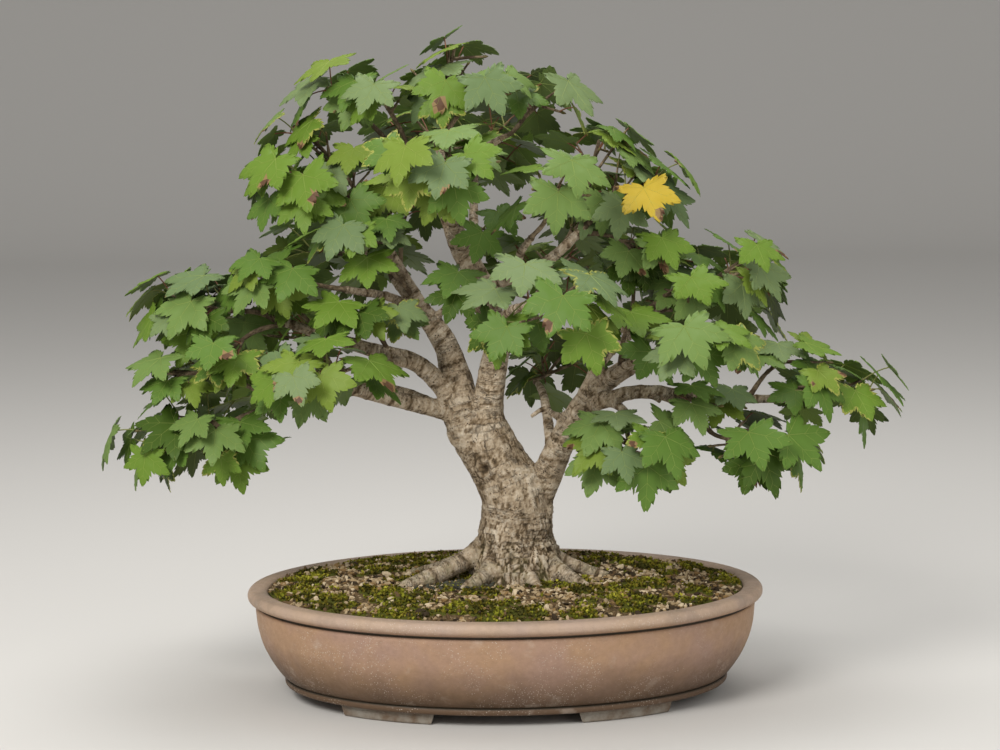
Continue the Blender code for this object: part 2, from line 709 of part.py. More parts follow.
def twig(name, start, end, start_radius, end_radius, sides, collection):
    """A straight tapering twig: a cone cut short, laid from start to end."""
    run = Vector(end - start)
    shape = bmesh.new()
    turn = run.to_track_quat("Z", "Y").to_matrix().to_4x4()
    place = Matrix.Translation(Vector((start + end) / 2.0)) @ turn
    bmesh.ops.create_cone(shape, cap_ends=True, segments=sides, radius1=start_radius, radius2=end_radius,
                          depth=run.length, matrix=place)
    return object_from_bmesh(name, shape, collection)


def leaf_corners(base, along, face, length):
    """A blade's corners in turn round its edge, and its raised middle above and below."""
    across = np.cross(face, along)
    sides = []
    for degrees, share in LEAF_CORNERS:
        angle = math.radians(degrees)
        ahead = base + length * share * math.cos(angle) * along
        reach = length * share * math.sin(angle) * across
        sides.append((ahead + reach, ahead - reach))
    rim = [right for right, left in sides] + [left for right, left in sides[-2::-1]]
    middle = base + LEAF_MIDDLE * length * along
    rise = 0.5 * LEAF_THICKNESS * face
    return np.array(rim), middle + rise, middle - rise


def leaf_samples(rim, middle, joint):
    """Points spread over the blade and petiole, close enough together to find anything they touch."""
    edge = np.vstack([rim, 0.5 * (rim[:-1] + rim[1:])])
    fans = [middle + (edge - middle) * share for share in SAMPLE_RINGS]
    stalk = [middle + (joint - middle) * share for share in STALK_SAMPLES]
    return np.vstack(fans + [np.array(stalk)])


def leaf_solid(leaf, foot_radius, collection):
    """A closed blade, thickest in its middle, whose petiole grows out of the side that faces its joint."""
    rim, above, below, joint = leaf[:4]
    shape = bmesh.new()
    edge = [shape.verts.new(point) for point in rim]
    caps = {side: shape.verts.new(point) for side, point in (("above", above), ("below", below))}
    stalk_side = "above" if np.dot(above - below, joint - rim[0]) > 0.0 else "below"
    for first, second in zip(edge, edge[1:]):
        for cap in caps.values():
            shape.faces.new((first, second, cap))
    for side, cap in caps.items():
        if side != stalk_side:
            shape.faces.new((edge[-1], edge[0], cap))
    root = [edge[-1], edge[0], caps[stalk_side]]
    middle = sum((Vector(vert.co) for vert in root), Vector()) / 3.0
    slim = foot_radius / max((vert.co - middle).length for vert in root)
    foot = [shape.verts.new(Vector(joint) + (vert.co - middle) * slim) for vert in root]
    for step in range(3):
        after = (step + 1) % 3
        shape.faces.new((root[step], root[after], foot[after], foot[step]))
    shape.faces.new(foot)
    return object_from_bmesh("leaf", shape, collection)


def try_leaf(space, joint, base, petiole, length, others, draw):
    """A leaf at the end of a petiole, facing out and up with its tip hanging, if it finds room."""
    outward = unit((base - space.centre) / space.half)
    spoke = unit(np.array(((base[0] - CROWN_AXIS[0]) * SPOKE_SQUEEZE, base[1] - CROWN_AXIS[1], 0.0)))
    jitter = np.array([draw.uniform(-1.0, 1.0) for _ in range(3)])
    face = unit(FACE_OUT * outward + FACE_SPOKE * spoke + FACE_UP * UP + FACE_JITTER * jitter)
    hang = HANG_ALONG * petiole + HANG_SPOKE * spoke - HANG_DOWN * UP
    along = unit(hang - face * np.dot(hang, face))
    if abs(np.dot(face, petiole)) < FOLD_LEAST and np.dot(along, petiole) < 0.5:
        return None
    rim, above, below = leaf_corners(base, along, face, length)
    samples = leaf_samples(rim, (above + below) / 2.0, joint)
    crowded = any(np.min(np.linalg.norm(samples[:, None] - other[None], axis=2)) < LEAF_APART
                  for other in others)
    if crowded or not space.holds(rim) or not space.clears_limbs(samples):
        return None
    return rim, above, below, joint, samples


def side_leaf(space, place, heading, roll, others, draw):
    """Try petioles about one place on a shoot, shorter each time, until a leaf finds room."""
    sideways = unit(np.cross(heading, (0.2, 0.1, 1.0)))
    upright = np.cross(sideways, heading)
    for attempt in range(LEAF_TRIES):
        turn = roll + draw.uniform(-SIDE_TURN, SIDE_TURN) * (1 + attempt / 3.0)
        spread = draw.uniform(*SIDE_SPREAD)
        ease = 1.0 - SIDE_SHORTENING * attempt / LEAF_TRIES
        radial = math.cos(turn) * sideways + math.sin(turn) * upright
        petiole = unit(math.cos(spread) * heading + math.sin(spread) * radial + SIDE_LIFT * UP)
        base = place + petiole * PETIOLE_LENGTH * ease * draw.uniform(*SIDE_REACH)
        length = LEAF_LENGTH * draw.uniform(*SIDE_SIZE) * (LEAST_SIZE + (1.0 - LEAST_SIZE) * ease)
        leaf = try_leaf(space, place + JOINT_OFFSET * radial, base, petiole, length, others, draw)
        if leaf:
            return leaf
    return None


def end_leaf(space, root, target, others, draw):
    """Try the leaf that carries on a shoot's own line past its last pair."""
    heading = unit(target - root)
    for attempt in range(LEAF_TRIES):
        ease = 1.0 - END_SHORTENING * attempt / LEAF_TRIES
        base = target + heading * PETIOLE_LENGTH * ease * draw.uniform(*END_REACH)
        length = LEAF_LENGTH * draw.uniform(*END_SIZE) * (LEAST_SIZE + (1.0 - LEAST_SIZE) * ease)
        leaf = try_leaf(space, root, base, heading, length, others, draw)
        if leaf:
            return leaf
    return None


def shoot_aims(mass, draw):
    """Headings spread evenly over the mass, more of them sideways and up than down."""
    turn = draw.uniform(0.0, 2.0 * math.pi)
    aims = []
    for number in range(mass.shoots):
        rise = AIM_HIGHEST + (AIM_LOWEST - AIM_HIGHEST) * (number + 0.5) / mass.shoots
        level = math.sqrt(1.0 - rise * rise)
        angle = turn + number * GOLDEN_ANGLE
        aims.append(np.array((level * math.cos(angle), level * math.sin(angle), rise)))
    return aims


def stem_line(space, bough_line):
    """A mass's stem: on from its bough's tip, bending to just past the middle of its space."""
    tip_radius = bough_line[-1, 3]
    run = unit(bough_line[-1, :3] - bough_line[-2, :3])
    start = bough_line[-1, :3] + GAP * run
    bend = start + STEM_BEND * np.linalg.norm(space.centre - start) * run
    finish = space.centre + STEM_PAST_CENTRE * (space.centre - start)
    knots = [(*(start + STRAIGHT_START * run), tip_radius * STEM_TAPER[0]),
             (*bend, tip_radius * STEM_TAPER[1]),
             (*finish, STEM_TIP_RADIUS)]
    return np.vstack([(*start, tip_radius * STEM_TAPER[0]), smooth_knots(knots, 2)])


def grow_shoot(space, root, target, taken, draw, grown):
    """A shoot from the stem with its end leaf and its pairs of side leaves, each pair at right angles."""
    reach = np.linalg.norm(target - root)
    heading = unit(target - root)
    leaf = end_leaf(space, root, target, taken, draw)
    if leaf:
        leaf_solid(leaf, SHOOT_RADIUS, grown)
        taken.append(leaf[4])
    else:
        twig("shoot", root, target, SHOOT_RADIUS, SHOOT_TIP_RADIUS, 3, grown)
    for order in range(SIDE_LEAVES):
        pair = order // 2
        roll = order * math.pi + pair * math.pi / 2.0
        place = target - heading * (PAIR_FROM_TIP + PAIR_SPACING * reach * pair)
        leaf = side_leaf(space, place, heading, roll, taken, draw)
        if leaf:
            leaf_solid(leaf, PETIOLE_RADIUS, grown)
            taken.append(leaf[4])


def grow_mass(mass, seed, paths, parts, leaf_material):
    """One stem from the bough's tip with the shoots that find room, all fused. Returns the leaf count."""
    draw = random.Random(seed)
    space = Space(mass, MASSES, list(paths.values()))
    stem_path = stem_line(space, paths[mass.bough])
    stem = tube(f"foliage_{mass.place}", stem_path, 0, parts)
    grown = new_collection(f"{mass.place}_twigs")
    taken = []
    for number, aim in enumerate(shoot_aims(mass, draw)):
        share = (number + 0.5) / mass.shoots
        root = point_along(stem_path, SHOOT_ZONE[0] + (SHOOT_ZONE[1] - SHOOT_ZONE[0]) * share)[:3]
        target = space.centre + space.half * aim * draw.uniform(*SHOOT_REACH)
        points = root + (target - root) * np.linspace(0.25, 1.0, SHOOT_SAMPLES)[:, None]
        if np.linalg.norm(target - root) < SHOOT_LEAST:
            continue
        if space.holds(points) and space.clears_limbs(points):
            grow_shoot(space, root, target, taken, draw, grown)
    boolean(stem, "UNION", grown)
    bake_modifiers(stem)
    empty_out(grown)
    keep_largest_shell(stem)
    stem.data.materials.clear()
    stem.data.materials.append(leaf_material)
    return len(taken)


def main():
    clear_scene()
    parts = new_collection("sycamore_maple_bonsai")
    cutters = new_collection("cutters")
    paths = {}
    build_pot(parts)
    build_soil(parts)
    build_trunk(parts, cutters, paths)
    build_boughs(parts, cutters, paths)
    leaf_material = principled("leaf_green", LEAF_GREEN)
    total = 0
    for number, mass in enumerate(MASSES):
        total += grow_mass(mass, CROWN_SEED + number, paths, parts, leaf_material)
    print(f"{total} leaves on {len(MASSES)} masses")


main()
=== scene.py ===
"""Dresses the sycamore maple bonsai: stoneware pot, mossy soil, barked limbs, twigs and lobed leaves.

Metres, +Z up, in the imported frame: the origin is on the floor under the middle of the pot, +X runs
along the pot's long way and -Y is the front of the tree.
"""
from __future__ import annotations

import json
import logging
import math
import random
from dataclasses import dataclass, field
from enum import Enum

import bpy
import numpy as np
from mathutils import Matrix, Vector, noise
from mathutils.geometry import delaunay_2d_cdt

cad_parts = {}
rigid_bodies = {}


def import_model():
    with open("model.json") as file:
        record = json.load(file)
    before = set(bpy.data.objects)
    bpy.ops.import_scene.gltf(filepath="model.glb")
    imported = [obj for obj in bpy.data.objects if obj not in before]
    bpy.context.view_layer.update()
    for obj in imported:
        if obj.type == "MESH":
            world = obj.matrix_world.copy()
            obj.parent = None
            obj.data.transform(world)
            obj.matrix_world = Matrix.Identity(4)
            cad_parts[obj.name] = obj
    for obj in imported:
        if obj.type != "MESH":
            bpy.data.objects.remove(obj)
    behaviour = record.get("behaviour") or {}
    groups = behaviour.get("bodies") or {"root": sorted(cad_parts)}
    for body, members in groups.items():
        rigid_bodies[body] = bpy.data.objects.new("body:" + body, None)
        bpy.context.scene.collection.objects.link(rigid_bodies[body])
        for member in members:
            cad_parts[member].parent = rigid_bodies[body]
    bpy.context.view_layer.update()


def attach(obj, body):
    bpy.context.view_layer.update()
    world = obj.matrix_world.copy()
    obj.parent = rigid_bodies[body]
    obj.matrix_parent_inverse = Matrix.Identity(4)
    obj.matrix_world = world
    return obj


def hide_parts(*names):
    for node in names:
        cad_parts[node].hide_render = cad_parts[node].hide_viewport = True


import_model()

Array = np.ndarray
Colour = tuple[float, float, float]
LOG = logging.getLogger("bonsai")
GAP = 0.0003
UP = np.array((0.0, 0.0, 1.0))
GOLDEN_ANGLE = math.pi * (3.0 - math.sqrt(5.0))


def unit(vector: Array) -> Array:
    """Returns a vector, or each row of an array of them, at length one."""
    return vector / np.maximum(1e-9, np.linalg.norm(vector, axis=-1, keepdims=True))


def ease(low: float, high: float, value: Array | float) -> Array | float:
    """Returns 0 below low and 1 above high, with a smooth step between."""
    share = np.clip((value - low) / (high - low), 0.0, 1.0)
    return share * share * (3.0 - 2.0 * share)


class Surface:
    """Collects points and faces in lots and turns them into one mesh object."""

    def __init__(self) -> None:
        """Starts with nothing in it."""
        self.points: list[Array] = []
        self.corners: list[Array] = []
        self.sizes: list[Array] = []
        self.slots: list[Array] = []
        self.count = 0

    def add(self, points: Array, face_lots: list[tuple[Array, int | Array]]) -> None:
        """Adds points, and lots of faces on them.

        Args:
            points: One row for each point.
            face_lots: Pairs of an array of corners, one row a face, and the faces' material slots.
        """
        self.points.append(np.asarray(points, float))
        for faces, slots in face_lots:
            if len(faces):
                faces = np.asarray(faces, int)
                self.corners.append((faces + self.count).ravel())
                self.sizes.append(np.full(len(faces), faces.shape[1]))
                self.slots.append(np.broadcast_to(slots, len(faces)))
        self.count += len(points)

    def add_tube(self, path: Array, sides: int, slot: int) -> None:
        """Adds a closed round tube along a path.

        Args:
            path: Rows of x, y, z and radius.
            sides: Sides of its section.
            slot: Its material slot.
        """
        points = path[:, :3]
        ahead = unit(np.gradient(points, axis=0))
        side = unit(np.cross(ahead[0], (0.31, 0.52, 0.79)))
        turns = 2.0 * math.pi * np.arange(sides) / sides
        rings = []
        for place, run, radius in zip(points, ahead, path[:, 3]):
            side = unit(side - run * np.dot(side, run))
            above = np.cross(run, side)
            rings.append(place + radius * (np.cos(turns)[:, None] * side + np.sin(turns)[:, None] * above))
        rings += [points[:1], points[-1:]]
        first = np.arange(len(points) - 1)[:, None] * sides
        step = np.arange(sides)
        after = (step + 1) % sides
        walls = np.stack([first + step, first + after, first + sides + after, first + sides + step], axis=-1)
        last = (len(points) - 1) * sides
        start_tip = np.full(sides, last + sides)
        caps = np.vstack([np.stack([after, step, start_tip], axis=-1),
                          np.stack([last + step, last + after, start_tip + 1], axis=-1)])
        self.add(np.vstack(rings), [(walls.reshape(-1, 4), slot), (caps, slot)])

    def make(self, name: str, materials: list[bpy.types.Material], sharp: float = 60.0) -> bpy.types.Object:
        """Makes the object.

        Args:
            name: The piece's name.
            materials: One for each slot.
            sharp: Edges that bend by more than this many degrees stay sharp.

        Returns:
            The new object, linked to the scene.
        """
        mesh = bpy.data.meshes.new(name)
        points = np.concatenate(self.points).astype(np.float32)
        corners = np.concatenate(self.corners).astype(np.int32)
        sizes = np.concatenate(self.sizes)
        mesh.vertices.add(len(points))
        mesh.vertices.foreach_set("co", points.ravel())
        mesh.loops.add(len(corners))
        mesh.loops.foreach_set("vertex_index", corners)
        mesh.polygons.add(len(sizes))
        starts = np.concatenate(([0], np.cumsum(sizes)[:-1])).astype(np.int32)
        mesh.polygons.foreach_set("loop_start", starts)
        mesh.polygons.foreach_set("material_index", np.concatenate(self.slots).astype(np.int32))
        mesh.update(calc_edges=True)
        mesh.validate()
        mesh.shade_smooth()
        mesh.set_sharp_from_angle(angle=math.radians(sharp))
        for material in materials:
            mesh.materials.append(material)
        piece = bpy.data.objects.new(name, mesh)
        bpy.context.scene.collection.objects.link(piece)
        return piece


def settle(piece: bpy.types.Object, slot: str, *nodes: str) -> bpy.types.Object:
    """Rides a piece on the tree's one body and hides the nodes that it stands for.

    Args:
        piece: The piece.
        slot: Not used.
        nodes: The solids that it replaces.

    Returns:
        The same piece.
    """
    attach(piece, "root")
    if nodes:
        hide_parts(*nodes)
    piece.data.calc_loop_triangles()
    LOG.info("%s: %d triangles", piece.name, len(piece.data.loop_triangles))
    return piece


# Finishes
class Shader:
    """A material's nodes, added and joined in a few words."""

    def __init__(self, name: str, roughness: float, specular: float = 0.5) -> None:
        """Starts a Principled material with its even roughness and specular level."""
        self.material = bpy.data.materials.new(name)
        self.material.use_nodes = True
        self.tree = self.material.node_tree
        self.base = self.tree.nodes["Principled BSDF"]
        self.base.inputs["Roughness"].default_value = roughness
        self.base.inputs["Specular IOR Level"].default_value = specular

    def node(self, kind: str, inputs: dict | None = None, **settings: object) -> bpy.types.Node:
        """Adds a node.

        Args:
            kind: The node's type, without its ShaderNode prefix.
            inputs: Plain values or output sockets for its inputs.
            settings: Values of the node's own settings.

        Returns:
            The node.
        """
        made = self.tree.nodes.new("ShaderNode" + kind)
        for key, value in settings.items():
            setattr(made, key, value)
        for key, value in (inputs or {}).items():
            if isinstance(value, bpy.types.NodeSocket):
                self.tree.links.new(value, made.inputs[key])
            else:
                made.inputs[key].default_value = value
        return made

    def place(self) -> bpy.types.NodeSocket:
        """Returns the object's own coordinates."""
        return self.node("TexCoord").outputs["Object"]

    def clouds(self, scale: float, detail: float = 4.0, vector: bpy.types.NodeSocket | None = None
               ) -> bpy.types.NodeSocket:
        """Returns soft noise of a scale in cycles a metre."""
        inputs = {"Vector": vector or self.place(), "Scale": scale, "Detail": detail, "Roughness": 0.6}
        return self.node("TexNoise", inputs).outputs["Fac"]

    def cells(self, scale: float, feature: str = "F1") -> bpy.types.NodeSocket:
        """Returns the distance to the nearest of scattered points."""
        inputs = {"Vector": self.place(), "Scale": scale}
        return self.node("TexVoronoi", inputs, feature=feature).outputs["Distance"]

    def relief(self) -> bpy.types.NodeSocket:
        """Returns the piece's own record, from 0 to 1: the bark's shade with its painted shade and highlight, the
        pot's painted shadow in its groove and crease, the soil's mossiness, or an even 0.6 on the twigs.
        """
        return self.node("Attribute", attribute_name="relief").outputs["Fac"]

    def ramp(self, value: bpy.types.NodeSocket, stops: list[tuple[float, Colour]]) -> bpy.types.NodeSocket:
        """Returns a colour read from stops by a value."""
        made = self.node("ValToRGB", {"Fac": value})
        stretch = made.color_ramp.elements
        while len(stretch) < len(stops):
            stretch.new(0.5)
        for stop, (place, colour) in zip(stretch, stops):
            stop.position = place
            stop.color = (*colour, 1.0)
        return made.outputs["Color"]

    def fade(self, value: bpy.types.NodeSocket, low: float, high: float) -> bpy.types.NodeSocket:
        """Returns a value stretched so that low gives 0 and high gives 1."""
        return self.node("MapRange", {"Value": value, "From Min": low, "From Max": high}).outputs["Result"]

    def blend(self, factor: bpy.types.NodeSocket | float, first: bpy.types.NodeSocket | Colour,
              second: bpy.types.NodeSocket | Colour, way: str = "MIX") -> bpy.types.NodeSocket:
        """Returns two colours mixed by a factor."""
        made = self.node("Mix", data_type="RGBA", blend_type=way)
        for key, value in ((0, factor), (6, first), (7, second)):
            if isinstance(value, bpy.types.NodeSocket):
                self.tree.links.new(value, made.inputs[key])
            else:
                made.inputs[key].default_value = (*value, 1.0) if isinstance(value, tuple) else value
        return made.outputs[2]

    def finish(self, colour: bpy.types.NodeSocket, bumps: list[tuple[bpy.types.NodeSocket, float]],
               roughness: bpy.types.NodeSocket | None = None) -> bpy.types.Material:
        """Joins colour, bumps and roughness to the shader.

        Args:
            colour: The base colour.
            bumps: Pairs of a height and its depth in metres.
            roughness: A roughness that varies, if it does.

        Returns:
            The material.
        """
        self.tree.links.new(colour, self.base.inputs["Base Color"])
        normal = None
        for height, depth in bumps:
            inputs = {"Height": height, "Distance": depth, "Strength": 1.0}
            if normal:
                inputs["Normal"] = normal
            normal = self.node("Bump", inputs).outputs["Normal"]
        if normal:
            self.tree.links.new(normal, self.base.inputs["Normal"])
        if roughness:
            self.tree.links.new(roughness, self.base.inputs["Roughness"])
        return self.material


@dataclass(frozen=True)
class PlainFinish:
    """A leaf, stalk, moss or grit colour that is the same all over its small faces."""

    name: str
    colour: Colour
    roughness: float = 0.55
    specular: float = 0.35

    def make(self) -> bpy.types.Material:
        """Returns the material."""
        shader = Shader(self.name, self.roughness, self.specular)
        shader.base.inputs["Base Color"].default_value = (*self.colour, 1.0)
        return shader.material


@dataclass(frozen=True)
class BarkFinish:
    """Pale pinkish-tan bark: dark cracks and fine wrinkles across the limb, freckles, green low down, and the painted
    shade and highlight of the limb's shade record.
    """

    name: str = "grey_tan_bark"
    crack: Colour = (0.034, 0.022, 0.011)
    shade: Colour = (0.210, 0.148, 0.085)
    plate: Colour = (0.540, 0.430, 0.302)
    ridge: Colour = (0.800, 0.700, 0.555)
    algae: Colour = (0.135, 0.145, 0.035)
    freckle: Colour = (0.045, 0.030, 0.018)

    def make(self) -> bpy.types.Material:
        """Returns the material."""
        shader = Shader(self.name, 0.80, 0.25)
        # The shade record holds the bark's own tone with painted shade in cracks, folds and forks and a painted
        # highlight on raised plates and lumps.
        stops = [(0.0, self.crack), (0.26, self.shade), (0.54, self.plate), (0.94, self.ridge)]
        colour = shader.ramp(shader.relief(), stops)
        patches = shader.fade(shader.clouds(38.0), 0.36, 0.66)
        colour = shader.blend(shader.fade(patches, 0.0, 3.2), colour, self.shade)
        mottle = shader.fade(shader.clouds(330.0, 6.0), 0.34, 0.66)
        colour = shader.blend(shader.fade(mottle, 0.9, -4.0), colour, self.crack)
        wrinkles = self.wrinkles(shader)
        colour = shader.blend(wrinkles, colour, self.crack)
        freckles = shader.fade(shader.cells(270.0), 0.27, 0.15)
        kept = shader.fade(shader.clouds(95.0, 2.0), 0.50, 0.60)
        spots = shader.node("Math", {0: freckles, 1: kept}, operation="MULTIPLY").outputs[0]
        colour = shader.blend(spots, colour, self.freckle)
        height = shader.node("SeparateXYZ", {"Vector": shader.place()}).outputs["Z"]
        low = shader.fade(height, 0.180, 0.128)
        green = shader.node("Math", {0: low, 1: shader.fade(shader.clouds(60.0), 0.46, 0.7)},
                            operation="MULTIPLY").outputs[0]
        colour = shader.blend(shader.fade(green, 0.0, 2.0), colour, self.algae)
        deep = shader.node("Math", {0: 1.0, 1: wrinkles}, operation="SUBTRACT").outputs[0]
        bumps = [(shader.clouds(420.0, 6.0), 0.0016), (deep, 0.0010), (shader.cells(520.0, "F2"), 0.0005)]
        return shader.finish(colour, bumps)

    @staticmethod
    def wrinkles(shader: Shader) -> bpy.types.NodeSocket:
        """Returns thin broken lines across the limb, from 0 off them to about 0.75 in them."""
        local = shader.node("Attribute", attribute_name="limb_place").outputs["Vector"]
        total = None
        for stretch, width, limit in (((42.0, 42.0, 260.0), 0.030, 0.80), ((70.0, 70.0, 470.0), 0.035, 0.50)):
            vector = shader.node("VectorMath", {0: local, 1: stretch}, operation="MULTIPLY").outputs["Vector"]
            value = shader.clouds(1.0, 2.0, vector)
            off = shader.node("Math", {0: value, 1: 0.5}, operation="SUBTRACT").outputs[0]
            off = shader.node("Math", {0: off}, operation="ABSOLUTE").outputs[0]
            line = shader.fade(off, width, 0.0)
            kept = shader.fade(shader.clouds(75.0, 3.0), 0.42, 0.56)
            line = shader.node("Math", {0: line, 1: kept}, operation="MULTIPLY").outputs[0]
            line = shader.node("Math", {0: line, 1: limit}, operation="MULTIPLY").outputs[0]
            total = line if total is None else shader.node("Math", {0: total, 1: line}, operation="MAXIMUM").outputs[0]
        return total


@dataclass(frozen=True)
class StonewareFinish:
    """Unglazed brown stoneware: mottled tan and mauve with lime specks, painted shade low down, a painted highlight on
    the lip, and painted shadow under the lip and above the base band.
    """

    name: str = "brown_stoneware"
    tan: Colour = (0.400, 0.250, 0.150)
    mauve: Colour = (0.370, 0.238, 0.178)
    # A dark tone for the fine mottling, also used for the painted shade low on the wall.
    shade: Colour = (0.085, 0.050, 0.026)
    # Lime for the specks and bloom, also the colour of the painted highlight on the lip.
    lime: Colour = (0.600, 0.530, 0.450)
    # The colour of the painted shadow in the groove under the lip and in the crease above the base band.
    groove_shadow: Colour = (0.034, 0.026, 0.016)
    weathered: Colour = (0.190, 0.150, 0.115)
    lip_foot: float = 0.1045

    def make(self) -> bpy.types.Material:
        """Returns the material."""
        shader = Shader(self.name, 0.58, 0.35)
        place = shader.place()
        colour = shader.blend(shader.fade(shader.clouds(14.0, 3.0), 0.38, 0.64), self.tan, self.mauve)
        fine = shader.fade(shader.clouds(160.0, 6.0), 0.35, 0.68)
        colour = shader.blend(fine, shader.blend(0.16, colour, self.shade), colour)
        height = shader.node("SeparateXYZ", {"Vector": place}).outputs["Z"]
        # Painted shade: the wall darkens towards the base band, along a wavy line.
        wavy = shader.node("Math", {0: height, 1: shader.node(
            "Math", {0: shader.clouds(26.0), 1: 0.030}, operation="MULTIPLY").outputs[0]},
            operation="SUBTRACT").outputs[0]
        low = shader.fade(wavy, 0.056, 0.008)
        colour = shader.blend(shader.fade(low, 0.0, 1.08), colour, self.shade)
        # Painted highlight: the top of the lip is paled towards the lime colour.
        lip = shader.fade(height, self.lip_foot, self.lip_foot + 0.006)
        colour = shader.blend(shader.fade(lip, 0.0, 3.6), colour, self.lime)
        worn = shader.node("Math", {0: lip, 1: shader.fade(shader.clouds(17.0, 5.0), 0.50, 0.72)},
                           operation="MULTIPLY").outputs[0]
        colour = shader.blend(shader.fade(worn, 0.0, 1.5), colour, self.weathered)
        for scale, size, low_end, high_end in ((190.0, 0.15, 0.56, 0.64), (430.0, 0.25, 0.46, 0.58)):
            specks = shader.fade(shader.cells(scale), size, 0.5 * size)
            kept = shader.fade(shader.clouds(22.0, 3.0), low_end, high_end)
            lime = shader.node("Math", {0: specks, 1: kept}, operation="MULTIPLY").outputs[0]
            colour = shader.blend(shader.fade(lime, 0.0, 1.3), colour, self.lime)
        bloom = shader.fade(shader.clouds(34.0, 8.0), 0.60, 0.80)
        colour = shader.blend(shader.fade(bloom, 0.0, 2.6), colour, self.lime)
        # Painted shadow: the groove under the lip and the crease above the base band are darkened, as read from the
        # body's record.
        painted_groove_shade = shader.fade(shader.relief(), 0.62, 0.20)
        colour = shader.blend(painted_groove_shade, colour, self.groove_shadow)
        rough = shader.node("MapRange", {"Value": fine, "To Min": 0.66, "To Max": 0.50}).outputs["Result"]
        bumps = [(shader.clouds(300.0, 5.0), 0.0005), (shader.cells(700.0), 0.00012)]
        return shader.finish(colour, bumps, rough)


@dataclass(frozen=True)
class FootFinish:
    """The pot's feet: the same clay under a grey coat of lime."""

    name: str = "limed_feet"
    clay: Colour = (0.150, 0.105, 0.070)
    lime: Colour = (0.270, 0.245, 0.205)

    def make(self) -> bpy.types.Material:
        """Returns the material."""
        shader = Shader(self.name, 0.72, 0.25)
        colour = shader.blend(shader.fade(shader.clouds(55.0, 6.0), 0.36, 0.60), self.clay, self.lime)
        return shader.finish(colour, [(shader.clouds(260.0, 6.0), 0.0008)])


@dataclass(frozen=True)
class EarthFinish:
    """Damp grit and soil, brown to ochre, that shows between the moss and the grains."""

    name: str = "damp_earth"
    dark: Colour = (0.036, 0.024, 0.012)
    brown: Colour = (0.125, 0.084, 0.040)
    ochre: Colour = (0.300, 0.220, 0.115)
    moss: Colour = (0.085, 0.090, 0.012)

    def make(self) -> bpy.types.Material:
        """Returns the material."""
        shader = Shader(self.name, 0.9, 0.2)
        stops = [(0.25, self.dark), (0.50, self.brown), (0.74, self.ochre)]
        colour = shader.ramp(shader.clouds(240.0, 6.0), stops)
        colour = shader.blend(shader.fade(shader.relief(), 0.45, 0.75), colour, self.moss)
        return shader.finish(colour, [(shader.clouds(520.0, 5.0), 0.0015)])


@dataclass(frozen=True)
class FloorFinish:
    """A plain pale studio floor."""

    name: str = "pale_floor"
    colour: Colour = (0.60, 0.59, 0.57)

    def make(self) -> bpy.types.Material:
        """Returns the material."""
        shader = Shader(self.name, 0.9, 0.1)
        shader.base.inputs["Base Color"].default_value = (*self.colour, 1.0)
        return shader.material


class Tint(Enum):
    """The named tints for the blade's upper side: the greens are dealt out by how lit each leaf is, paler as painted
    light and darker as painted shade.
    """

    # The palest goes mostly to well lit leaves as painted light, the two darkest to shaded leaves as painted shade.
    BLOOM = (0.146, 0.208, 0.082)
    SLATE = (0.120, 0.180, 0.072)
    SAGE = (0.130, 0.208, 0.050)
    MEADOW = (0.088, 0.166, 0.024)
    FRESH = (0.116, 0.200, 0.022)
    LIME = (0.150, 0.220, 0.028)
    DEEP = (0.050, 0.096, 0.010)
    SHADE = (0.033, 0.062, 0.005)
    TURNING = (0.440, 0.320, 0.030)


